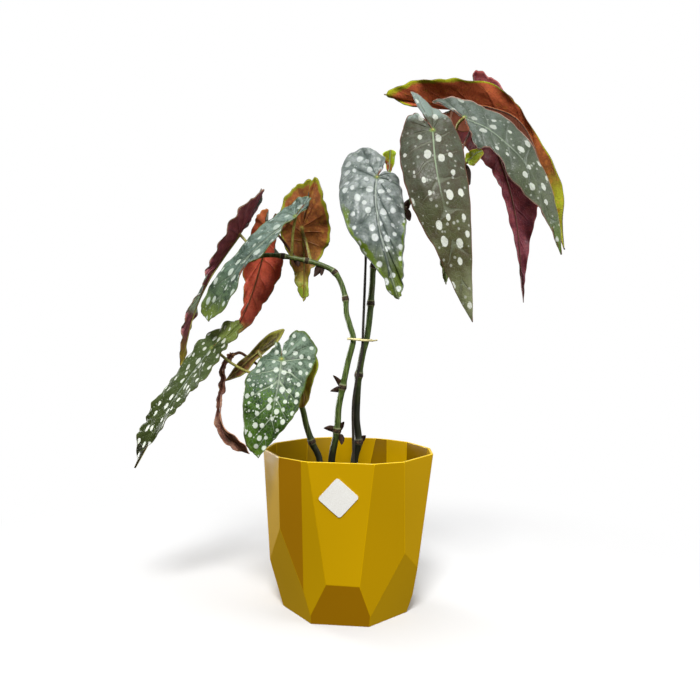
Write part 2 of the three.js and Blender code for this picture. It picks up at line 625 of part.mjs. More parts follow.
function soilMesh(holes) {
  const { bottom, grow } = innerPotProfile();
  const low = bottom + 2 + GAP;
  const wallGap = INNER_POT_WALL + GAP + 0.5;
  const points = [[0, low], [grow(low) - wallGap, low], [grow(SOIL_TOP) - wallGap, SOIL_TOP]];
  const rings = [46, 34, 22, 11];
  rings.forEach((radius) => points.push([radius, SOIL_TOP]));
  points.push([0, SOIL_TOP]);
  const geometry = new THREE.LatheGeometry(points.map(([r, z]) => new THREE.Vector2(r, z)), 20);
  geometry.rotateX(Math.PI / 2);
  const position = geometry.attributes.position;
  for (let i = 0; i < position.count; i += 1) {
    const [x, y, z] = [position.getX(i), position.getY(i), position.getZ(i)];
    if (z > SOIL_TOP - 1 && Math.hypot(x, y) < 50) {
      position.setZ(i, z + SOIL_BUMP * Math.sin(x * 0.31 + 1) * Math.cos(y * 0.27));
    }
  }
  let body = toSolid(geometry);
  holes.forEach((hole) => {
    body = body.subtract(hole);
  });
  return meshOf("soil", toGeometry(body), SOIL_BROWN);
}

function stakeBar(extra) {
  const curve = curveThrough([[1, -2, 40], [2, -3, 92], [4, -4, 121], [3, -6, 168], [9, -8, 209], [10, -8, 236], [11, -7, 287], [11, -7, 322]]);
  const points = curve.getPoints(14);
  return toSolid(bar(points, points.map(() => STAKE_RADIUS + extra), 8));
}

// The tie is a loop round both stems and the stake, with one loose end on the right
function tieMesh() {
  const loop = [[-2.6, -5.5, 220], [0.5, -9.2, 220], [5, -10.4, 219.6], [10, -10.6, 219.2], [15, -5, 219], [18, 2, 218.8],
    [17, 7.5, 219], [12, 9, 219.4], [6, 5.5, 219.8], [0, -0.4, 220.2]];
  const curve = new THREE.CatmullRomCurve3(loop.map(vector), true, "catmullrom", 0.5);
  const points = curve.getPoints(30).slice(0, 30);
  const ring = closedBar(points, TIE_RADIUS, 6);
  const tail = bar([vector([17.5, 0.5, 218.8]), vector([19.5, -1, 218.9]), vector([21.5, -1.5, 219.4])], [0.6, 0.6, 0.5], 6);
  return meshOf("tie", toGeometry(toSolid(ring).add(toSolid(tail))), PALE_TIE);
}

function closedBar(points, radius, sides) {
  const positions = [];
  const index = [];
  const count = points.length;
  points.forEach((point, i) => {
    const tangent = points[(i + 1) % count].clone().sub(points[(i + count - 1) % count]).normalize();
    const side = tangent.clone().cross(new THREE.Vector3(0, 0, 1)).normalize();
    const up = side.clone().cross(tangent);
    for (let k = 0; k < sides; k += 1) {
      const angle = (2 * Math.PI * k) / sides;
      const place = point.clone();
      place.addScaledVector(side, radius * Math.cos(angle)).addScaledVector(up, radius * Math.sin(angle));
      positions.push(place.x, place.y, place.z);
    }
  });
  for (let i = 0; i < count; i += 1) {
    for (let k = 0; k < sides; k += 1) {
      const [a, b] = [i * sides + k, i * sides + ((k + 1) % sides)];
      const [c, d] = [((i + 1) % count) * sides + ((k + 1) % sides), ((i + 1) % count) * sides + k];
      index.push(a, c, b, a, d, c);
    }
  }
  const geometry = new THREE.BufferGeometry();
  geometry.setAttribute("position", new THREE.Float32BufferAttribute(positions, 3));
  geometry.setIndex(index);
  return geometry;
}

const plant = new THREE.Group();
plant.name = "potted_begonia";
plant.add(potMesh(), nurseryPotMesh(), labelMesh());

// Each stem with its stipules, as it is and a gap wider all over
function grownStem(stem, extra) {
  let body = stemSolid(stem, extra);
  stem.stipules.forEach((stipule) => {
    body = body.add(stipuleSolid(stipule, extra));
  });
  return body;
}

const roomy = {};
STEMS.forEach((stem) => {
  roomy[stem.name] = grownStem(stem, GAP);
});
plant.add(soilMesh([...Object.values(roomy), stakeBar(GAP)]));
STEMS.forEach((stem) => plant.add(meshOf(stem.name, toGeometry(grownStem(stem, 0)), stem.material)));
plant.add(meshOf("stake", toGeometry(stakeBar(0)), BLACK_PLASTIC));
plant.add(tieMesh());
LEAVES.forEach((leaf) => plant.add(leafMesh(leaf, roomy)));

export default plant;
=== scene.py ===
"""The looks of a potted polka-dot begonia: leaves, stems, stake, soil and a faceted ochre cover pot."""

import bmesh
import bpy
import numpy as np
from mathutils import Matrix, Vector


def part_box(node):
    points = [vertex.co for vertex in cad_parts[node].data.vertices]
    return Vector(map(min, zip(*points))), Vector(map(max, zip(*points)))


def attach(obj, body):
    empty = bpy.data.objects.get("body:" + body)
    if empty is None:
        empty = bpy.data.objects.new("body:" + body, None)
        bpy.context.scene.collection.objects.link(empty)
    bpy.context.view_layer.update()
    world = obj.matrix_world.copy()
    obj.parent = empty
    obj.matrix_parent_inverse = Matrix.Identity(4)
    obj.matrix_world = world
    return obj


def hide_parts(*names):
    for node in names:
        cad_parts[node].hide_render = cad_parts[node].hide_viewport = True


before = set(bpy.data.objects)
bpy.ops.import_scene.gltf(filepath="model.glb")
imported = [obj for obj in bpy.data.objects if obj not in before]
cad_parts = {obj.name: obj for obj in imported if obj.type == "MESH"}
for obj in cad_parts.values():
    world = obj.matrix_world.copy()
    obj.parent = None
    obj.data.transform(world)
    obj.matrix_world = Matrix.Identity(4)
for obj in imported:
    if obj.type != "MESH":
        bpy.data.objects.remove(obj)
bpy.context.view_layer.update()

bl_info = {
    "name": "Potted polka-dot begonia",
    "version": (1, 0, 0),
    "blender": (4, 5, 0),
    "location": "3D View > Sidebar > Begonia",
    "description": "Builds the leaves, stems, soil and cover pot of a potted begonia around its packed frame",
    "category": "Object",
}

MM = 0.001

# The plant's numbers, in millimetres and degrees, as the frame has them

POT_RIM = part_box("pot")[1][2] / MM
GROWER_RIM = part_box("nursery_pot")[1][2] / MM
GROWER_FOOT = 3.3
SOIL_TOP = 92.0
SOIL_RADIUS = 53.3

# The cover pot's first three materials
OUTSIDE, EDGE, INSIDE = 0, 1, 2
# Colour of the painted highlight along the rim's top edge
RIM_HIGHLIGHT = (226, 188, 16)

# Facets painted in darker copies of the pot's colour: painted shade where they would reflect the darker
# side of the room, found by their normals. start: the material that they would have otherwise. tone: shares
# of the pot's red, green and blue
SHADED_FACETS = {
    "deep": dict(start=OUTSIDE, tone=(0.87, 0.78, 1), normals=[(-0.64, -0.76, -0.12), (-0.09, -0.94, -0.32)]),
    "soft": dict(start=OUTSIDE, tone=(0.92, 0.91, 1), normals=[(0.44, -0.89, -0.12)]),
    "shadow": dict(start=INSIDE, tone=(0.67, 0.63, 1), normals=[(-0.43, -0.89, 0.13), (-0.90, -0.44, 0.07)]),
}

# radius: at the foot and at the top. wood: height above the soil where the dark woody foot ends. points:
# the axis. nodes: places along it. bracts: the start, the end and the half width of each dried bract
STEMS = {
    "stem_short": dict(
        radius=(3.2, 2.2), wood=70,
        points=[(-23, -4, 58), (-22, 0, 92), (-24, 2, 119), (-30, 0, 133), (-35, -3, 148), (-39, -6, 164),
                (-47, -10, 178), (-60, -12, 189), (-70, -12, 195)],
        nodes=(44, 79, 122),
        bracts=[((-60, -12, 189), (-62, -15, 182), 1.2)],
    ),
    "stem_middle": dict(
        radius=(3.4, 1.9), wood=64,
        points=[(-13, 10, 58), (-13, 8, 92), (-14, 5, 119), (-10, 2, 144), (-9, 0, 163), (-6, -2, 180),
                (-2, -4, 201), (2, -5, 219), (-1, -5, 231), (-4, -4, 241), (-5, -3, 253), (-9, -1, 266),
                (-15, 0, 275), (-25, 0, 280), (-35, 1, 283), (-46, 1, 285), (-59, 0, 287), (-72, -1, 287),
                (-84, -2, 283)],
        nodes=(87, 124, 198, 222, 247, 267, 292),
        bracts=[((-10, 2, 144), (-21, 0, 146), 1.6), ((-10, 1, 143), (-4, -4, 152), 1.5),
                ((-8, 0, 141), (-6, -4, 133), 1.4), ((-6, -2, 179), (-16, -5, 177), 1.4),
                ((-6, -2, 180), (-14, -4, 190), 1.3), ((-27, 0, 280), (-31, -3, 270), 1.5),
                ((-26, 0, 280), (-25, -3, 271), 1.3), ((-47, 1, 285), (-44, -2, 278), 1.4)],
    ),
    "stem_right": dict(
        radius=(3.6, 2.1), wood=130,
        points=[(3, 9, 58), (4, 8, 92), (5, 8, 119), (8, 7, 134), (6, 6, 152), (6, 6, 167), (7, 5, 188),
                (10, 4, 208), (13, 4, 220), (15, 4, 236), (16, 5, 250), (17, 6, 266), (18, 6, 281),
                (25, 8, 302), (42, 10, 328), (55, 10, 344), (71, 8, 359), (82, 4, 364), (89, -2, 363.5)],
        nodes=(77, 133, 193, 224, 279, 315, 336),
        bracts=[((8, 7, 134), (14, 4, 140), 1.4), ((42, 10, 328), (47, 6, 318), 1.8),
                ((42, 9, 328), (45, 3, 335), 1.6), ((88, -1, 363), (94, -6, 346), 2.2)],
    ),
}

# The stick's axis, the tie's closed loop and its loose end
STAKE = [(1, -2, 40), (2, -3, 92), (4, -4, 121), (3, -6, 168), (9, -8, 209), (10, -8, 236), (11, -7, 287),
         (11, -7, 322)]
TIE = [(-2.6, -5.5, 220), (0.5, -9.2, 220), (5, -10.4, 219.6), (10, -10.6, 219.2), (15, -5, 219),
       (18, 2, 218.8), (17, 7.5, 219), (12, 9, 219.4), (6, 5.5, 219.8), (0, -0.4, 220.2)]
TIE_END = [(17.5, 0.5, 218.8), (19.5, -1, 218.9), (21.5, -1.5, 219.4)]

# spine: the midrib. face: the way the upper side looks. fold, roll, lift: degrees between the halves, of
# the margins' curl and of the basal lobes' rise. wave: height and number of the margin's waves. left,
# right: half outlines in the leaf's own plane, along the midrib and across it. stalk: the way from the
# stem. relief: shares of the set quilting, ruffle and scallops, and the number of side veins.
LEAVES = {
    "leaf_front_spotted": dict(
        spine=[(-53, -40, 204), (-54, -53, 185), (-59, -58, 159), (-68, -55, 130)],
        face=(0, -1, 0.35), fold=(-8, -8), roll=(-28, -28), lift=(12, 12), wave=(1.2, 4),
        left=[(-12, -2), (-15, -6), (-8, -7), (-2, -16), (18, -28), (49, -25), (72, -15), (79, -6)],
        right=[(-15, 1), (-26, 10), (-22, 22), (-8, 28), (20, 20), (40, 18), (58, 10), (71, 4)],
        stalk=[(-62, -12, 190), (-59, -22, 200)],
        relief=(0.7, 0.8, 0.9, 11),
    ),
    "leaf_low_left": dict(
        spine=[(-110, -22, 211), (-126, -28, 188), (-144, -34, 159), (-166, -36, 117)],
        face=(-0.5, -0.5, 0.6), fold=(10, 0), roll=(5, -5), lift=(12, 12), wave=(1.4, 5),
        left=[(-15, 7), (-28, 12), (-18, -8), (3, -15), (32, -19), (63, -18), (81, -19), (94, -13)],
        right=[(-14, 9.5), (-27, 18.5), (-13, 20), (3, 16), (28, 21), (47, 14), (66, 12), (89, 1)],
        stalk=[(-69, -12, 194.5), (-80, -17, 192), (-94, -21, 199), (-104, -23, 207)],
        relief=(0.5, 0.8, 1.5, 16),
    ),
    "leaf_large_hanging": dict(
        spine=[(59, -44, 380), (61, -60, 347), (70, -66, 306), (90, -60, 235)],
        face=(0, -1, 0.2), fold=(-8, -8), roll=(-28, -28), lift=(10, -18), wave=(1.2, 4),
        left=[(-8, -4), (-17, -11), (-12, -20), (7, -26), (38, -26), (66, -22), (96, -14), (128, -7)],
        right=[(-16, -6), (-42, -14), (-27, 2), (-13, 13), (9, 24), (43, 25), (83, 18), (127, 7)],
        stalk=[(70, 8, 358), (66, -12, 372), (60, -32, 382)],
        relief=(0.6, 0.7, 0.6, 12),
    ),
    "leaf_silver": dict(
        spine=[(18, -32, 346), (17, -46, 326), (22, -56, 295), (35, -58, 251)],
        face=(0, -0.9, 0.5), fold=(-8, -8), roll=(-28, -28), lift=(12, 12), wave=(1.2, 4),
        left=[(-10, 4), (-22, 4), (-30, -14), (-20, -30), (16, -30), (49, -22), (75, -10), (96, -5)],
        right=[(-5, 5), (-6, 13), (3, 21), (39, 24), (64, 17), (82, 10), (94, 6), (100, 3)],
        stalk=[(18, 6, 281), (17, -10, 312), (18, -22, 340)],
        relief=(1.4, 1.3, 1.2, 9),
    ),
    "leaf_large_right": dict(
        spine=[(85, -28, 394), (108, -38, 379), (136, -44, 347), (160, -40, 288)],
        face=(0.1, -0.8, 0.55), fold=(-10, 6), roll=(-25, 0), lift=(5, -10), wave=(1.2, 4),
        left=[(2, -2), (6, -5.5), (14, -12), (26, -18), (37, -12), (66, -16), (98, -7), (121, -1)],
        right=[(-3, 0.3), (-14, 1.8), (-33, 5), (-23, 11), (-2, 19), (26, 19), (62, 13), (102, 10)],
        stalk=[(80, 5, 363), (80, -8, 378), (81, -20, 390)],
        relief=(0.55, 0.7, 0.7, 12),
    ),
    "leaf_top_red": dict(
        spine=[(81, 14, 412), (113, 16, 415), (145, 10, 391), (170, -12, 295)],
        face=(0.1, 0.62, 0.7), fold=(0, -50), roll=(0, -20), lift=(5, 5), wave=(1.6, 5),
        left=[(-28, -5), (-51, -14), (-57, -19), (-38, -27), (-3, -30), (36, -17), (72, -6), (131, -13)],
        right=[(-8, 3), (-20, 9), (-17, 15), (2, 19), (36, 22), (76, 20), (112, 14), (146, 7)],
        stalk=[(75, 7, 361), (77, 12, 385), (79, 14, 402)],
        relief=(0.45, 1.1, 1.1, 13),
    ),
    "leaf_back_maroon": dict(
        spine=[(106, 36, 412), (128, 46, 378), (144, 50, 327), (151, 44, 254)],
        face=(0, 1, 0.2), fold=(-8, -8), roll=(-28, -28), lift=(12, 12), wave=(1.2, 4),
        left=[(-18, -6), (-34, -16), (-21, -26), (2, -31), (38, -34), (76, -26), (108, -13), (145, -4)],
        right=[(-10, 7), (-16, 17), (-9, 27), (11, 24), (36, 14), (61, 8), (99, 6), (136, 2)],
        stalk=[(84, 2, 364), (92, 18, 384), (101, 31, 403)],
        relief=(0.5, 1.3, 1.3, 13),
    ),
    "leaf_small_olive": dict(
        spine=[(-75, -6, 208), (-83, -6, 201), (-90, -7, 194), (-101, -10, 184)],
        face=(0, 1, 0.3), fold=(-8, -8), roll=(-28, -28), lift=(12, 12), wave=(0.6, 3),
        left=[(-9, 0), (-28, 0), (-18, -4), (-6, -4), (6, -4), (16, -6), (23, -5.5), (29, -3)],
        right=[(-9, 0), (-28, 0), (-17, 6), (-3, 6), (7, 4), (16, 5), (23, 4), (29, 2)],
        stalk=[(-67, -11, 193.5), (-71, -9, 201)],
        relief=(1, 1, 1, 6),
    ),
    "leaf_brick_red": dict(
        spine=[(-71, 14, 310), (-77, 24, 284), (-87, 28, 251), (-101, 26, 218)],
        face=(0, 1, 0.25), fold=(-8, -8), roll=(-28, -28), lift=(12, 12), wave=(1.2, 4),
        left=[(-8, -2), (-15, -4), (-6, -9), (16, -9), (24, -19), (42, -18), (64, -12), (82, -9)],
        right=[(-6, 3), (-17, 3), (-12, 10), (3, 13), (37, 13), (60, 6), (79, 2), (89, 1)],
        stalk=[(-46, 1, 285), (-53, 6, 294), (-62, 10, 305)],
        relief=(0.45, 1.1, 1.1, 11),
    ),
    "leaf_brown_red": dict(
        spine=[(-43, 22, 313), (-42, 30, 299), (-41, 32, 278), (-41, 28, 251)],
        face=(0, 1, 0.3), fold=(-8, -8), roll=(-28, -28), lift=(12, 12), wave=(1.4, 5),
        left=[(-20, -6.2), (-43, -14), (-28, -21), (-7, -26), (13, -24), (30, -13), (42, -4), (58, -4)],
        right=[(-20, -5.4), (-39, -10.2), (-36, 2), (-24, 15), (-1, 20), (25, 14), (41, 9), (53, 6)],
        stalk=[(-34, 1, 283), (-38, 10, 298), (-42, 17, 309)],
        relief=(0.35, 1.3, 1.4, 10),
    ),
    "leaf_grey_green": dict(
        spine=[(-46, -14, 317), (-70, -24, 295), (-93, -30, 268), (-111, -32, 232)],
        face=(-0.3, -0.6, 0.6), fold=(10, 0), roll=(5, -5), lift=(12, 12), wave=(1.2, 4),
        left=[(-11, -2.8), (-21, -5.6), (-13, -13), (9, -17), (34, -14), (62, -13), (83, -14), (105, -13)],
        right=[(-9, -1.2), (-21, -2), (-12, 1), (8, 3), (36, 10), (57, 5), (75, 10), (99, 8)],
        stalk=[(-50, 1, 286), (-49, -4, 294), (-48, -9, 306)],
        relief=(0.6, 0.9, 0.9, 12),
    ),
    "leaf_far_left": dict(
        spine=[(-93, 4, 304), (-106, 0, 284), (-118, -4, 263), (-129, -6, 235), (-138, -4, 195)],
        face=(-0.85, 0.2, 0.6), fold=(20, 6), roll=(8, -8), lift=(12, 12), wave=(1.4, 5),
        left=[(-19, -1.2), (-42, -4), (-18, -23), (11, -25), (36, -12), (55, -13), (81, -12), (102, -10)],
        right=[(-19, 1.2), (-42, 4), (-18, 23), (11, 25), (36, 10), (55, 11), (81, 12), (102, 10)],
        stalk=[(-78, -1, 285.5), (-83, 1, 292), (-88, 3, 299)],
        relief=(0.4, 1.3, 1.9, 19),
    ),
    "leaf_behind_spotted": dict(
        spine=[(-49, -16, 198), (-43, -17, 187), (-37, -18, 175), (-37, -20, 165)],
        face=(0, 0.9, 0.4), fold=(-4, -4), roll=(-15, -15), lift=(12, 12), wave=(0.8, 3),
        left=[(-4, -11), (-1, -22), (6, -25), (13, -21), (20, -13), (25, -7), (30, -4), (35, -2)],
        right=[(-6, 1), (-12, 3), (-5, 6), (3, 8), (12, 8), (20, 8), (31, 6), (36, 3)],
        stalk=[(-47, -10, 178), (-50, -13, 188)],
        relief=(1, 1, 1, 6),
    ),
    "leaf_young_funnel": dict(
        spine=[(28.5, -14, 353), (28.5, -14, 359), (28.5, -15, 365), (28.5, -16, 371)],
        face=(0, -0.9, 0.2), fold=(35, 35), roll=(25, 25), lift=(5, 5), wave=(0.3, 2),
        left=[(0, -0.4), (0, -0.8), (1, -1.2), (3, -2), (7, -4), (12, -5), (16, -6), (18, -3)],
        right=[(0, 0.4), (0, 0.8), (1, 1.2), (3, 3), (7, 4), (12, 7), (15, 8), (17, 4)],
        stalk=[(41, 10, 327), (38, 0, 338), (31, -9, 347)],
        relief=(1, 1, 1, 5),
    ),
    "growing_tip": dict(
        spine=[(92, -6, 364.5), (95, -8, 368), (98, -9, 371), (103, -10, 373)],
        face=(0, -0.8, 0.5), fold=(12, 12), roll=(20, 20), lift=(10, 10), wave=(0.5, 2),
        left=[(0, -2), (0, -4), (1, -6), (3, -8), (6, -9), (10, -9), (13, -6), (15, -3)],
        right=[(-1, 1), (-1, 3), (1, 4), (4, 5), (6, 5), (8, 5), (10, 4), (14, 2)],
        stalk=[(87, -1, 363.5), (89.5, -4, 363.5)],
        relief=(1, 1, 1, 5),
    ),
    "leaf_narrow_hidden": dict(
        spine=[(65, -34, 332), (68, -36, 310), (71, -36, 289), (73, -34, 264)],
        face=(0, -1, 0.1), fold=(-5, -5), roll=(-20, -20), lift=(12, 12), wave=(0.8, 4),
        left=[(-5, -2), (-7, -6), (-3, -8), (6, -8), (22, -7), (42, -5), (56, -3), (64, -2)],
        right=[(-4, 3), (-6, 7), (-1, 9), (7, 9), (23, 8), (43, 6), (56, 5), (64, 2)],
        stalk=[(55, 10, 344), (59, -8, 346), (63.5, -25, 342)],
        relief=(0.6, 0.8, 0.8, 9),
    ),
    "leaf_dried": dict(
        spine=[(-94, -8, 206), (-102, -9, 196), (-102, -10, 183), (-105, -12, 167), (-102, -14, 145),
               (-80, -14, 126)],
        face=(-0.3, -0.8, 0.3), fold=(30, 30), roll=(40, 40), lift=(12, 12), wave=(1.2, 4),
        left=[(0, -1), (1, -1.4), (4, -1.7), (12, -1.8), (25, -2), (43, -2), (63, -3.5), (82, -6)],
        right=[(0, 1), (1, 1.4), (5, 1.7), (14, 1.8), (27, 2), (42, 3.5), (65, 9), (84, 12)],
        stalk=[(-64, -12, 191.5), (-74, -1, 196), (-84, 0, 203), (-90, -4, 207)],
        relief=(1.2, 1.4, 1.2, 14),
    ),
}

# How a blade is built. Its lines fan out of the stalk over the first RIB_START of the way round the
# outline; after that their feet move along the midrib with the RIB_POWER. The margin curls from CURL_START
# of the half width on
SPINE_STEPS = 60
RIB_START = 0.4
RIB_POWER = 1.5
CURL_START = 0.3

# Lengths of blades that count as small and tiny, and the least lobe and half width that a bend is spread
# over
SMALL_LEAF = 45
TINY_LEAF = 25
LEAST_LOBE = 4.0
LEAST_WIDTH = 6.0

# What the vein numbers of the right half have added, a bend in place of none, and the distance, in metres,
# at which points are made one
RIGHT_HALF = 40
FLAT = 1e-6
WELD = 2e-6

# Colours, as red, green, blue from 0 to 255


def paint_rgb(*rgb, tone=1.0):
    """The linear colour of a screen colour, times the tone, with full opacity."""
    c = np.array(rgb, float) / 255
    c = np.where(c <= 0.04045, c / 12.92, ((c + 0.055) / 1.055) ** 2.4) * tone
    return (*c.tolist(), 1.0)


def as_rgb(colour):
    """A setting's colour as red, green, blue."""
    return tuple(round(255 * c) for c in colour)


def toned(rgb, *shares):
    """A colour times one share, or times one share for each of red, green and blue."""
    return tuple(round(v * share) for v, share in zip(rgb, shares * (3 // len(shares))))


# tone: what all the colours are multiplied by. base, far: the blade near the stalk and near its tip; reach:
# where far begins and ends, in millimetres along the midrib, as every reach is; patchy: how far fine noise
# moves that change. mottle: strength of dark blotches; dark: their colour, which is also the colour of the
# painted shade in the dips beside the veins and in a line beside the midrib, with the strengths
# vein_shade and rib_shade. silver: the metallic bloom, with its strength and its reach. spot: colour, with
# its own tone; spots: cell size, share of cells that have one, size within the cell, stretch along the blade
# and softness; specks: strength of the small ones, with their reach. vein: colour, with the strengths veins
# and net, the fine net. rib: the midrib's colour, and where it ends. joint: where the stalk comes in. rim:
# colour, and width as a share of the half blade. tip: colour, with its reach. patch: a colour between two
# pairs of places. edge: a colour in patches of the margin, with its reach. half: the colour of the painted
# shade over the right half. rough: mean roughness. gloss: specular level
TOP = dict(tone=0.5, base=(96, 108, 82), far=(74, 84, 58), reach=(20, 90), patchy=10,
           silver=(150, 164, 158), bloom=0.35, bloom_reach=(70, 10), spot=(214, 220, 206), spot_tone=0.68,
           spots=(10.0, 0.8, 0.25, 1.35, 0.03), specks=0.45, speck_reach=(-60, -50), vein=(150, 165, 140),
           veins=0.5, net=0.08, rib=(168, 184, 158), rib_end=85, joint=(140, 170, 84), rim=(120, 95, 70),
           rim_width=0.03, mottle=0.45, vein_shade=0.35, dark=(48, 56, 38), tip=(74, 84, 58),
           tip_reach=(170, 180), rough=0.42, gloss=0.35, rib_shade=0.45)
UNDER = dict(tone=0.9, base=(150, 62, 34), far=(150, 70, 36), reach=(20, 90), patchy=10,
             silver=(190, 110, 60), bloom=0.4, bloom_reach=(160, 60), spot=(196, 112, 62), spot_tone=1.2,
             spots=(7.0, 0.8, 0.22, 1.2, 0.14), specks=0.6, speck_reach=(-60, -50), vein=(112, 48, 28),
             veins=0.4, net=0.14, rib=(140, 92, 48), rib_end=90, joint=(140, 110, 60), rim=(112, 100, 32),
             rim_width=0.04, mottle=0.5, vein_shade=0.15, dark=(100, 40, 26), tip=(150, 70, 36),
             tip_reach=(170, 180), rough=0.45, gloss=0.3, rib_shade=0.45)
DULL = dict(UNDER, tone=0.6, base=(120, 60, 46), far=(110, 72, 50), rim=(104, 92, 50))
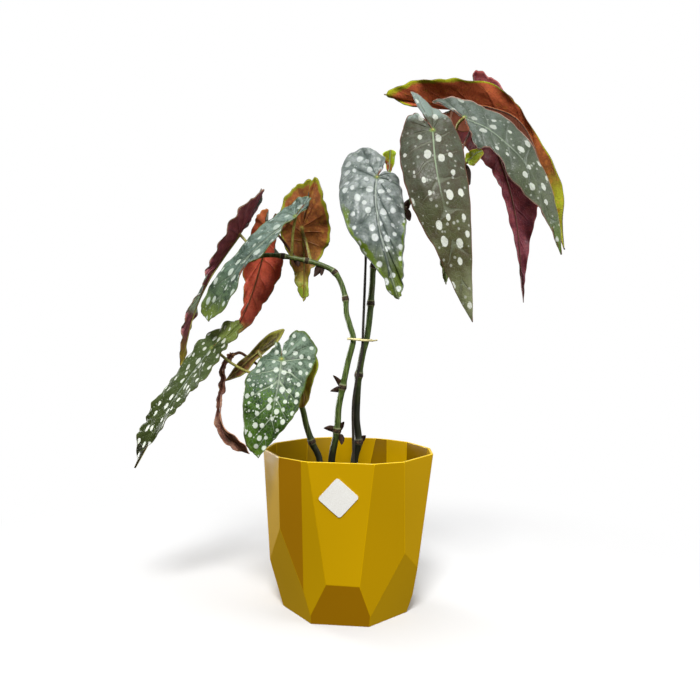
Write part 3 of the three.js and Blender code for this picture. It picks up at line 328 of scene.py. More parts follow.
LOOKS = {
    "leaf_silver": (
        dict(TOP, tone=0.37, base=(142, 158, 150), far=(116, 134, 66), reach=(54, 78),
             silver=(208, 218, 213), bloom=0.9, bloom_reach=(85, 20), vein=(112, 128, 118), veins=0.6,
             dark=(84, 100, 92), mottle=0.45, vein_shade=0.4, rib_end=130, rib_shade=1.0, rib=(214, 226, 212),
             spots=(9.5, 0.9, 0.26, 1.1, 0.04), spot=(232, 238, 234), spot_tone=0.68, rim=(190, 200, 196),
             rim_width=0.025, edge=((138, 168, 40), 18, 34), tip=(136, 160, 50), tip_reach=(74, 96),
             rough=0.45, gloss=0.3),
        dict(DULL),
    ),
    "leaf_large_hanging": (
        dict(TOP, tone=0.46, base=(86, 91, 70), far=(108, 111, 68), reach=(20, 105),
             silver=(140, 150, 132), bloom=0.2, patch=((150, 168, 158), -50, -45, -10, -16),
             vein=(152, 162, 136), veins=0.45, dark=(84, 62, 46), rim=(150, 100, 78),
             spots=(11.5, 0.85, 0.22, 1.5, 0.015), rib_end=76, rib=(176, 196, 160), spot=(226, 230, 218),
             spot_tone=0.7, tip=(156, 162, 118), tip_reach=(108, 134), gloss=0.2),
        dict(DULL),
    ),
    "leaf_large_right": (
        dict(TOP, tone=0.44, base=(98, 112, 96), far=(112, 122, 88), reach=(10, 100),
             silver=(150, 164, 158), bloom=0.4, bloom_reach=(45, 5), rim=(196, 156, 138), rim_width=0.035,
             vein=(150, 162, 146), spots=(9.5, 0.85, 0.20, 1.6, 0.02), dark=(64, 74, 56),
             spot=(216, 222, 210), spot_tone=0.6, tip=(116, 142, 62), tip_reach=(98, 128), gloss=0.25),
        dict(DULL),
    ),
    "leaf_grey_green": (
        dict(TOP, tone=0.50, base=(118, 144, 130), far=(104, 130, 84), reach=(56, 98),
             silver=(160, 180, 168), bloom=0.6, dark=(46, 66, 48), spots=(6.5, 0.85, 0.24, 2.0, 0.04),
             spot=(206, 218, 204), rim=(128, 144, 76), mottle=0.9, tip=(128, 150, 54), tip_reach=(88, 108),
             gloss=0.25),
        dict(DULL),
    ),
    "leaf_front_spotted": (
        dict(TOP, tone=0.52, base=(106, 134, 110), far=(92, 136, 36), reach=(26, 38), patchy=150,
             silver=(158, 180, 156), bloom=0.5, bloom_reach=(36, 5), vein=(190, 208, 176), veins=0.9,
             net=0.2, dark=(30, 54, 14), mottle=0.9, rib_end=60, spots=(6.8, 0.85, 0.28, 1.15, 0.03),
             spot=(232, 240, 226), spot_tone=0.85, specks=1.0, speck_reach=(6, 26), rim=(104, 128, 52),
             rim_width=0.05, tip=(120, 160, 40), tip_reach=(66, 82), gloss=0.25),
        dict(DULL),
    ),
    "leaf_low_left": (
        dict(TOP, tone=0.50, base=(96, 114, 62), far=(80, 94, 40), reach=(20, 90), silver=(110, 124, 92),
             bloom=0.1, vein=(116, 134, 74), dark=(46, 56, 22), spots=(6.4, 0.95, 0.25, 1.7, 0.01),
             spot=(236, 240, 228), spot_tone=0.95, patch=((150, 168, 84), -50, -45, -6, -14), specks=0.3,
             rim=(112, 118, 54), vein_shade=0.2, tip=(48, 50, 26), tip_reach=(86, 98), rough=0.55, gloss=0.15),
        dict(DULL, base=(92, 50, 34), far=(60, 44, 26), tip=(46, 40, 24), tip_reach=(70, 90),
             spot=(226, 232, 210), patch=((156, 176, 96), -50, -45, -2, -7)),
    ),
    "leaf_small_olive": (
        dict(TOP, base=(70, 82, 44), far=(86, 70, 40), reach=(5, 25), spots=(5.0, 0.5, 0.28, 1.4, 0.05)),
        dict(UNDER, base=(92, 80, 34), far=(124, 66, 42), reach=(-4, 12), rim_width=0.16,
             vein=(60, 56, 24), dark=(46, 42, 16), tone=1.0, rib=(150, 138, 60), rim=(140, 138, 56),
             spot=(120, 112, 50), spot_tone=0.9, mottle=0.9, silver=(112, 112, 50)),
    ),
    "leaf_behind_spotted": (
        dict(TOP, base=(80, 96, 50)),
        dict(UNDER, tone=2.3, base=(122, 132, 22), far=(104, 84, 26), reach=(4, 30), vein=(90, 76, 30),
             dark=(74, 66, 20), rim=(140, 150, 46), spot=(140, 132, 56), silver=(130, 136, 50)),
    ),
    "leaf_far_left": (
        dict(TOP, base=(104, 118, 100), far=(110, 120, 56), reach=(80, 106), bloom=0.5),
        dict(UNDER, tone=1.75, base=(98, 48, 58), far=(92, 48, 50), dark=(60, 28, 38), vein=(66, 30, 38),
             spot=(124, 74, 76), rim=(112, 80, 62), silver=(122, 70, 74), bloom=0.4, vein_shade=0.1,
             tip=(138, 124, 40), tip_reach=(92, 114), patch=((140, 158, 134), 54, 58, 78, 70)),
    ),
    "leaf_brick_red": (
        dict(TOP),
        dict(UNDER, tone=1.5, base=(134, 76, 34), far=(158, 64, 44), reach=(-8, 6), dark=(116, 44, 34),
             rim=(150, 96, 44), spot=(180, 88, 60), silver=(180, 88, 66), tip=(174, 168, 88),
             tip_reach=(80, 94)),
    ),
    "leaf_brown_red": (
        dict(TOP),
        dict(UNDER, tone=1.7, base=(122, 66, 36), far=(118, 92, 34), reach=(-10, 60), dark=(84, 48, 26),
             rim=(112, 112, 24), rim_width=0.09, spot=(176, 132, 50), spot_tone=1.6, specks=0.9,
             vein=(104, 62, 30), veins=0.3, mottle=0.75, tip=(128, 148, 36), tip_reach=(34, 58),
             silver=(150, 96, 50)),
    ),
    "leaf_top_red": (
        dict(TOP),
        dict(UNDER, tone=1.75, base=(140, 70, 44), far=(92, 60, 28), reach=(50, 110), dark=(80, 34, 20),
             rim=(112, 114, 20), rim_width=0.09, spot=(180, 112, 50), vein=(112, 52, 30), mottle=0.35,
             # half: painted shade over the right half
             silver=(150, 76, 46), half=(66, 34, 22), tip=(124, 132, 34), tip_reach=(104, 144),
             gloss=0.03),
    ),
    "leaf_back_maroon": (
        dict(TOP),
        dict(UNDER, tone=1.25, base=(108, 42, 38), far=(120, 52, 62), reach=(5, 60), dark=(80, 30, 42),
             spot=(146, 66, 68), spot_tone=1.1, silver=(116, 52, 52), vein=(88, 34, 44), rim=(136, 64, 62),
             mottle=0.8),
    ),
    "leaf_narrow_hidden": (
        dict(TOP, tone=1.0, base=(130, 150, 60), far=(110, 132, 50), spots=(5.0, 0.3, 0.2, 1.4, 0.05),
             bloom=0.1, vein=(160, 172, 100)),
        dict(UNDER, base=(120, 120, 50), far=(120, 110, 50)),
    ),
    "leaf_young_funnel": (
        dict(TOP, tone=1.1, base=(150, 66, 34), far=(140, 168, 24), reach=(3, 10),
             spots=(4.0, 0.2, 0.2, 1.2, 0.1), bloom=0.0, vein=(176, 150, 60), dark=(112, 60, 34),
             rim=(160, 180, 50), rim_width=0.12),
        dict(UNDER, tone=1.5, base=(150, 66, 36), far=(140, 166, 26), reach=(3, 10), dark=(110, 56, 34),
             rim=(160, 180, 50), spot=(180, 150, 60)),
    ),
    "growing_tip": (
        dict(TOP, tone=2.0, base=(142, 162, 26), far=(150, 174, 36), reach=(2, 12),
             spots=(4.0, 0.2, 0.2, 1.2, 0.1), bloom=0.0, vein=(176, 190, 66), dark=(120, 132, 24),
             rim=(170, 160, 56), rim_width=0.12),
        dict(UNDER, tone=2.4, base=(142, 154, 30), far=(150, 168, 38), reach=(2, 12), dark=(120, 118, 26),
             rim=(170, 130, 60), spot=(176, 176, 66)),
    ),
    "leaf_dried": (
        dict(TOP, tone=2.0, base=(98, 62, 52), far=(92, 62, 48), spot=(142, 110, 90),
             spots=(5.0, 0.5, 0.3, 2.5, 0.2), bloom=0.3, spot_tone=1.6, silver=(150, 108, 84),
             vein=(64, 34, 26), veins=0.7, dark=(54, 30, 24), mottle=0.9, rim=(140, 100, 76),
             rib=(80, 44, 34), joint=(90, 60, 40), rough=0.55),
        dict(UNDER, tone=2.3, base=(98, 64, 52), far=(92, 60, 48), dark=(54, 34, 28), rim=(126, 98, 80),
             rough=0.55, spot=(140, 106, 84), silver=(136, 100, 82), rib=(80, 44, 34)),
    ),
}

# The slot of each leaf's colours
SLOTS = {
    "leaf_silver": "spotted_leaf", "leaf_large_hanging": "spotted_leaf", "leaf_large_right": "spotted_leaf",
    "leaf_grey_green": "spotted_leaf", "leaf_front_spotted": "spotted_leaf", "leaf_low_left": "spotted_leaf",
    "leaf_small_olive": "olive_leaf", "leaf_behind_spotted": "olive_leaf", "leaf_far_left": "red_leaf",
    "leaf_brick_red": "red_leaf", "leaf_brown_red": "red_leaf", "leaf_top_red": "red_leaf",
    "leaf_back_maroon": "red_leaf", "leaf_narrow_hidden": "young_leaf", "leaf_young_funnel": "young_leaf",
    "growing_tip": "young_leaf", "leaf_dried": "dried_leaf",
}
# Leaves whose stalk and midrib are coloured as another slot's
STALK_LOOKS = {"leaf_top_red": "dried_leaf", "leaf_back_maroon": "dried_leaf", "leaf_brick_red": "dried_leaf",
               "leaf_far_left": "spotted_leaf"}

# Stalks and midribs of each slot: the material's name, its young tone and its old one
STALK_TONES = {
    "spotted_leaf": ("stalk_olive", (166, 164, 82), (124, 118, 54)),
    "olive_leaf": ("stalk_dark", (132, 132, 62), (90, 78, 42)),
    "red_leaf": ("stalk_red", (132, 138, 58), (112, 84, 42)),
    "young_leaf": ("stalk_young", (134, 132, 54), (118, 84, 44)),
    "dried_leaf": ("stalk_dried", (112, 70, 44), (70, 42, 30)),
}

# Surfaces


def unit(v):
    """Vectors divided by their lengths."""
    return v / np.maximum(np.linalg.norm(v, axis=-1, keepdims=True), 1e-12)


def curve(points, share):
    """Catmull-Rom curve: each span mixes its four neighbouring points with cubic weights, ends run on
    straight."""
    p = np.asarray(points, float)
    p = np.vstack([2 * p[0] - p[1], p, 2 * p[-1] - p[-2]])
    spans = len(p) - 3
    x = np.clip(np.asarray(share, float), 0, 1) * spans
    i = np.minimum(x.astype(int), spans - 1)
    f = (x - i)[..., None]
    a, b, c, d = p[i], p[i + 1], p[i + 2], p[i + 3]
    return 0.5 * (2 * b + (c - a) * f + (2 * a - 5 * b + 4 * c - d) * f**2 + (3 * b - a - 3 * c + d) * f**3)


def even_curve(points, count):
    """The same curve at even steps of its length, and that length."""
    fine = curve(points, np.linspace(0, 1, 600))
    run = np.concatenate([[0], np.cumsum(np.linalg.norm(np.diff(fine, axis=0), axis=1))])
    at = np.linspace(0, run[-1], count)
    return np.stack([np.interp(at, run, fine[:, k]) for k in range(3)], 1), run[-1]


def circle(sides):
    """Even angles once round, from 0."""
    return np.linspace(0, 2 * np.pi, sides, endpoint=False)


def grid_faces(rows, columns, closed=False, looped=False, flip=False):
    """Four-cornered faces between neighbouring rows and columns of a grid; closed joins the last column to
    the first, and looped joins the last row to the first."""
    index = np.arange(rows * columns).reshape(rows, columns)
    if closed:
        index = np.hstack([index, index[:, :1]])
    if looped:
        index = np.vstack([index, index[:1]])
    a, b, c, d = index[:-1, :-1], index[:-1, 1:], index[1:, 1:], index[1:, :-1]
    faces = np.stack([a, b, c, d], -1).reshape(-1, 4)
    return faces[:, ::-1] if flip else faces


def sweep(path, radii, sides):
    """Rings round a path: place + radius (cos a first + sin a second), both square to the path; the first
    leans to the world axis that the path runs along least. Radius 0 at an end closes it. Returns points and
    faces."""
    path, radii = np.asarray(path, float), np.asarray(radii, float)
    tangent = unit(np.gradient(path, axis=0))
    axis = np.eye(3)[np.argmin(np.abs(tangent).max(axis=0))]
    first = unit(axis - tangent * (tangent @ axis)[:, None])
    second = np.cross(tangent, first)
    angle = circle(sides)
    ring = first[:, None] * np.cos(angle)[:, None] + second[:, None] * np.sin(angle)[:, None]
    points = path[:, None] + radii[:, None, None] * ring
    return points.reshape(-1, 3), grid_faces(len(path), sides, closed=True)


def round_ends(path, radii, steps=4):
    """The path and radii with a quarter-circle cap added at both ends."""
    turn = np.linspace(0, np.pi / 2, steps + 1)[:-1]
    first, last = unit(path[0] - path[1]), unit(path[-1] - path[-2])
    head = path[0] + first * (radii[0] * np.cos(turn))[:, None]
    tail = path[-1] + last * (radii[-1] * np.cos(turn[::-1]))[:, None]
    caps = radii[0] * np.sin(turn), radii[-1] * np.sin(turn[::-1])
    return np.vstack([head, path, tail]), np.concatenate([caps[0], radii, caps[1]])


def lathe(profile, sides):
    """A profile of (radius, height) carried round the vertical axis, from the axis back to the axis."""
    r, z = np.asarray(profile, float).T
    angle = circle(sides)
    points = np.stack([r[:, None] * np.cos(angle), r[:, None] * np.sin(angle), z[:, None] + 0 * angle], -1)
    return points.reshape(-1, 3), grid_faces(len(r), sides, closed=True)


def joined(*parts):
    """Several (points, faces) put one after the other."""
    counts = np.cumsum([0] + [len(p) for p, _ in parts])
    return np.vstack([p for p, _ in parts]), np.vstack([f + n for (_, f), n in zip(parts, counts)])


def waves(x, y, size, seed, count=28):
    """Soft random relief from -1 to 1: a sum of plane waves of seeded directions, lengths near size and
    phases."""
    rng = np.random.default_rng(seed)
    turn, phase = rng.uniform(0, 2 * np.pi, count), rng.uniform(0, 2 * np.pi, count)
    pitch = 2 * np.pi / (size * rng.uniform(0.6, 1.8, count))
    total = sum(np.sin(p * (x * np.cos(t) + y * np.sin(t)) + f) for p, t, f in zip(pitch, turn, phase))
    return total / np.sqrt(count)


def welded(points, faces):
    """Points in metres with those at one place made one, and faces without doubled corners. Returns the
    kept points, the corners as points, where the corners came from, and the number of corners of each
    face."""
    points = np.asarray(points, float) * MM
    keys = np.round(points / WELD).astype(np.int64)
    _, pick, weld = np.unique(keys, axis=0, return_index=True, return_inverse=True)
    corners = weld.reshape(-1)[faces]
    keep = corners != np.roll(corners, -1, axis=1)
    pinched = (corners[:, 0] == corners[:, 2]) | (corners[:, 1] == corners[:, 3])
    keep[(keep.sum(axis=1) < 3) | pinched] = False
    totals = keep.sum(axis=1)
    return points[pick], corners[keep], faces[keep], totals[totals > 0]


def new_object(name, points, faces, paints, stands_for=(), values=None):
    """A mesh object from millimetre points and four-cornered faces. Values are kept on the faces'
    corners."""
    places, corners, source, totals = welded(points, faces)
    mesh = bpy.data.meshes.new(name)
    mesh.vertices.add(len(places))
    mesh.vertices.foreach_set("co", places.ravel())
    mesh.loops.add(len(corners))
    mesh.loops.foreach_set("vertex_index", corners.astype(np.int32))
    mesh.polygons.add(len(totals))
    starts = np.concatenate([[0], np.cumsum(totals)[:-1]])
    mesh.polygons.foreach_set("loop_start", starts.astype(np.int32))
    mesh.update(calc_edges=True)
    if mesh.validate():
        raise RuntimeError(name + " has faces that a mesh can't hold")
    for key, value in (values or {}).items():
        kind, field = ("FLOAT", "value") if value.ndim == 1 else ("FLOAT_VECTOR", "vector")
        mesh.attributes.new(key, kind, "CORNER").data.foreach_set(field, value[source].ravel())
    mesh.shade_smooth()
    return own(name, mesh, paints, stands_for)


def own(name, mesh, paints, stands_for):
    """The object of a mesh, in the scene, riding on the root body."""
    piece = bpy.data.objects.new(name, mesh)
    bpy.context.scene.collection.objects.link(piece)
    for paint in paints:
        mesh.materials.append(paint)
    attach(piece, "root")
    if stands_for:
        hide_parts(*stands_for)
    return piece


# Leaves


def spine_of(leaf):
    """Places, tangents, upward normals and right-hand sides at even steps of the midrib: the normal starts
    as the face direction and is made square to each tangent in turn."""
    places, length = even_curve(leaf["spine"], SPINE_STEPS + 1)
    tangents = unit(np.gradient(places, axis=0))
    normals = np.empty_like(tangents)
    normal = np.array(leaf["face"], float)
    for step, tangent in enumerate(tangents):
        normal = unit(normal - tangent * (tangent @ normal))
        normals[step] = normal
    return places, tangents, normals, np.cross(normals, tangents), length


def half_outline(leaf, hand):
    """The outline points of the left half, where hand is -1, or of the right one, where it is 1."""
    return np.array(leaf["left" if hand < 0 else "right"], float)


def blade_points(leaf, spine, hand, along, across, outward, around, relief):
    """The place in space of a point of the leaf's plane. Along the midrib it follows the spine; behind the
    stalk it rises on an arc; across, it leaves at the fold angle and then bends on a circle; waves grow
    towards the margin."""
    length = spine[-1]
    half = 0 if hand < 0 else 1
    outline = half_outline(leaf, hand)
    lobe = max(LEAST_LOBE, -outline[:, 0].min())
    width = max(LEAST_WIDTH, (hand * outline[:, 1]).max())

    x = np.clip(along, 0, length) / length * SPINE_STEPS
    i = np.minimum(x.astype(int), SPINE_STEPS - 1)
    f = (x - i)[..., None]
    place, tangent, normal, side = (q[i] * (1 - f) + q[i + 1] * f for q in spine[:4])
    tangent, normal, side = unit(tangent), unit(normal), unit(side)
    place = place + tangent * np.maximum(along - length, 0)[..., None]

    bend = np.radians(leaf["lift"][half]) / lobe or FLAT
    rise = (bend * np.maximum(-along, 0))[..., None]
    place = place - tangent * (np.sin(rise) / bend) + normal * ((1 - np.cos(rise)) / bend)
    up = normal * np.cos(rise) + tangent * np.sin(rise)

    off = hand * across
    fold, start = np.radians(leaf["fold"][half]), CURL_START * width
    curl = np.radians(leaf["roll"][half]) / (width - start) or FLAT
    inner = np.minimum(off, start)
    angle = fold + curl * np.maximum(off - start, 0)
    sideways = inner * np.cos(fold) + (np.sin(angle) - np.sin(fold)) / curl
    raised = inner * np.sin(fold) + (np.cos(fold) - np.cos(angle)) / curl

    height, count = leaf["wave"]
    phase = 0.37 if hand > 0 else 0
    raised = raised + height * outward**2 * np.sin(2 * np.pi * (count * around + phase)) + relief
    return place + side * (hand * sideways)[..., None] + up * raised[..., None]


def scallops(around, veins, seed, hand):
    """The margin's teeth: one for each vein, of changing size and drifting place, and a finer row over
    them."""
    drift = around + 0.016 * np.sin(11 * around + seed) + 0.007 * np.sin(31 * around + 2 * seed)
    size = 0.8 + 0.5 * np.sin(7 * around + seed)
    teeth = np.abs(np.sin(np.pi * veins * drift + hand)) ** 0.7 * size - 0.6
    return teeth + 0.2 * np.sin(2 * np.pi * veins * 1.7 * drift + seed)


def blade_surface(name, leaf, spine, setting):
    """The blade: each half is a grid of lines that fan out of the stalk into the basal lobe and then leave
    the midrib like side veins. Between the veins the sheet is quilted, and its margin is scalloped and
    ruffled. The corners carry (along, across, outward) and the number of veins from the lobe."""
    length = spine[-1]
    small = length < SMALL_LEAF
    rows, columns = (60, 12) if small else (168, 24)
    quilted, ruffled, toothed, veins = leaf["relief"]
    quilting = quilted * setting.quilting / MM * (0.4 if small else 1.0)
    ruffling = ruffled * setting.ruffle / MM
    depth = toothed * setting.scallops / MM * (0.3 if small else 1.0)
    around = np.linspace(0, 1, rows + 1)
    outward = np.linspace(0, 1, columns + 1)
    ends = np.sin(np.pi * np.clip(around, 0, 1)) ** 0.5
    seed = sum(map(ord, name))
    parts, sheet, vein = [], [], []
    for hand in (-1, 1):
        rim = curve(np.array([(0, 0), *half_outline(leaf, hand), (length, 0)], float), around)
        away = np.gradient(rim, axis=0)
        away = unit(np.stack([away[:, 1], -away[:, 0]], 1)) * -hand
        rim = rim + away * (depth * scallops(around, veins, seed, hand) * ends)[:, None]
        rib = (np.maximum(around - RIB_START, 0) / (1 - RIB_START)) ** RIB_POWER * length
        along = rib[:, None] * (1 - outward) + rim[:, :1] * outward
        across = rim[:, 1:] * outward
        t = np.broadcast_to(around[:, None], along.shape)
        r = np.broadcast_to(outward, along.shape)

        swell = np.abs(np.sin(np.pi * veins * t)) ** 0.7
        window = np.sin(np.pi * np.clip(r * 0.93, 0, 1)) ** 0.6 * ends[:, None]
        lumps = waves(along, across, 11.0, seed + hand, 16)
        ruffle = np.sin(2 * np.pi * (veins * 0.9 * t + 0.2 * hand)) * r**4 * 0.8
        ruffle = ruffle + waves(along, across, 26.0, seed, 10) * r**2
        relief = quilting * (swell * window + 0.5 * lumps * window)
        relief = relief + ruffling * ruffle * ends[:, None] * (0.3 if small else 1)

        points = blade_points(leaf, spine, hand, along, across, r, t, relief)
        parts.append((points.reshape(-1, 3), grid_faces(rows + 1, columns + 1, flip=hand > 0)))
        sheet.append(np.stack([along, across, r], -1).reshape(-1, 3))
        vein.append((veins * t).reshape(-1) + (0 if hand < 0 else RIGHT_HALF))
    points, faces = joined(*parts)
    return points, faces, {"sheet": np.vstack(sheet), "vein": np.concatenate(vein)}


def stalk_surface(leaf, spine):
    """The leaf stalk, a bar along the curve through its points that is thicker at the stem, and the midrib,
    a bar along the spine that thins to the tip and lies just under the sheet."""
    places, tangents, normals, _, length = spine
    way, _ = even_curve([*leaf["stalk"], places[0] - tangents[0] * 0.2 - normals[0] * 0.2], 48)
    s = np.linspace(0, 1, len(way))
    thick = 0.95 if length < TINY_LEAF else 1.25
    radii = thick * (1 + 0.35 * np.exp(-((s / 0.07) ** 2)) - 0.12 * np.sin(np.pi * s))
    stalk = sweep(*round_ends(way, radii), sides=14)
    s = np.linspace(0, 1, len(places))
    slim = 0.6 if length > SMALL_LEAF else 0.4
    radii = slim * (1 - s) ** 0.6 * 0.85 + 0.16
    rib = sweep(*round_ends(places - normals * (0.7 * radii + 0.2)[:, None], radii), sides=12)
    return joined(stalk, rib)


# Materials


class Shade:
    """A socket of a node tree. Arithmetic on it adds Math nodes."""

    def __init__(self, nodes, socket):
        self.nodes, self.socket = nodes, socket

    def math(self, operation, *values):
        return self.nodes.node("ShaderNodeMath", {"operation": operation}, dict(enumerate(values)))

    def __add__(self, other):
        return self.math("ADD", self, other)

    def __sub__(self, other):
        return self.math("SUBTRACT", self, other)

    def __mul__(self, other):
        return self.math("MULTIPLY", self, other)

    def __radd__(self, other):
        return self.math("ADD", other, self)

    def __rsub__(self, other):
        return self.math("SUBTRACT", other, self)

    def __rmul__(self, other):
        return self.math("MULTIPLY", other, self)

    def __abs__(self):
        return self.math("ABSOLUTE", self)

    def least(self, other):
        """The smaller of the two."""
        return self.math("MINIMUM", self, other)

    def most(self, other):
        """The larger of the two."""
        return self.math("MAXIMUM", self, other)

    def fraction(self):
        """What stands after the point."""
        return self.math("FRACT", self)

    def ease(self, low, high):
        """0 below low, 1 above high and a smooth step between; low may be the larger."""
        values = {"Value": self, "From Min": low, "From Max": high}
        return self.nodes.node("ShaderNodeMapRange", {"interpolation_type": "SMOOTHSTEP"}, values)

    def ramp(self, low, high, first=0.0, last=1.0):
        """First below low, last above high and a straight line between."""
        values = {"Value": self, "From Min": low, "From Max": high, "To Min": first, "To Max": last}
        return self.nodes.node("ShaderNodeMapRange", None, values)


class Nodes:
    """The nodes of a material or a world, around its own shader."""

    def __init__(self, owner, shader):
        owner.use_nodes = True
        self.tree = owner.node_tree
        self.shader = self.tree.nodes[shader]

    def node(self, kind, settings=None, values=None, output=0):
        """A node with its settings, then the values or links of its sockets. Returns one output."""
        made = self.tree.nodes.new(kind)
        for key, value in (settings or {}).items():
            setattr(made, key, value)
        for key, value in (values or {}).items():
            self.feed(made.inputs[key], value)
        return Shade(self, made.outputs[output])

    def feed(self, socket, value):
        """Links a Shade to a socket, or sets a constant there."""
        if isinstance(value, Shade):
            self.tree.links.new(value.socket, socket)
        else:
            socket.default_value = value

    def vector(self, operation, *values, output="Vector"):
        """A Vector Math node on vectors or constants."""
        return self.node("ShaderNodeVectorMath", {"operation": operation}, dict(enumerate(values)), output)

    def split(self, vector):
        """The three parts of a vector."""
        made = self.node("ShaderNodeSeparateXYZ", None, {0: vector}).socket.node
        return [Shade(self, socket) for socket in made.outputs]


class Paint(Nodes):
    """A material and its nodes."""

    def __init__(self, name, tone=1.0):
        self.material = bpy.data.materials.new(name)
        super().__init__(self.material, "Principled BSDF")
        self.tone = tone

    def place(self):
        """Object coordinates in millimetres."""
        here = self.node("ShaderNodeTexCoord", output="Object")
        return self.vector("MULTIPLY", here, (1 / MM, 1 / MM, 1 / MM))

    def stored(self, name, output="Vector"):
        """The piece's own attribute, as a vector or, with the output Fac, as a number."""
        return self.node("ShaderNodeAttribute", {"attribute_name": name}, output=output)

    def noise(self, vector, scale, detail=3.0, roughness=0.55, output=0):
        """Noise from 0 to 1, or its three-part kind with output 1. scale: waves per millimetre."""
        values = {"Vector": vector, "Scale": scale, "Detail": detail, "Roughness": roughness}
        return self.node("ShaderNodeTexNoise", None, values, output)

    def streaks(self, vector, stretch, detail=4.0, roughness=0.55):
        """Noise with its own waves per millimetre along each axis."""
        return self.noise(self.vector("MULTIPLY", vector, stretch), 1.0, detail, roughness)

    def cells(self, vector, feature="F1", randomness=1.0):
        """Flat cells one unit wide: the distance that the feature names, and for F1 a colour for each
        cell."""
        settings = {"feature": feature, "voronoi_dimensions": "2D"}
        values = {"Vector": vector, "Scale": 1.0, "Randomness": randomness}
        made = self.node("ShaderNodeTexVoronoi", settings, values).socket.node
        return [Shade(self, socket) for socket in made.outputs[:2]]

    def mix(self, factor, first, second, tone=None):
        """The first colour where the factor is 0 and the second where it is 1, both times the tone."""
        tone = self.tone if tone is None else tone
        first, second = (paint_rgb(*c, tone=tone) if isinstance(c, tuple) else c for c in (first, second))
        return self.node("ShaderNodeMix", {"data_type": "RGBA"}, {0: factor, 6: first, 7: second}, 2)

    def bump(self, height, distance, strength=1.0):
        """Relief of a height from 0 to 1 that stands the distance in millimetres."""
        values = {"Height": height, "Distance": distance * MM, "Strength": strength}
        return self.node("ShaderNodeBump", None, values)

    def finish(self, colour, roughness, normal=None, **constants):
        """Links colour, roughness and normal; what is the same all over is set on the shader's sockets."""
        self.feed(self.shader.inputs["Base Color"], colour)
        self.feed(self.shader.inputs["Roughness"], roughness)
        if normal is not None:
            self.feed(self.shader.inputs["Normal"], normal)
        for key, value in constants.items():
            self.shader.inputs[key.replace("_", " ")].default_value = value
        return self.material


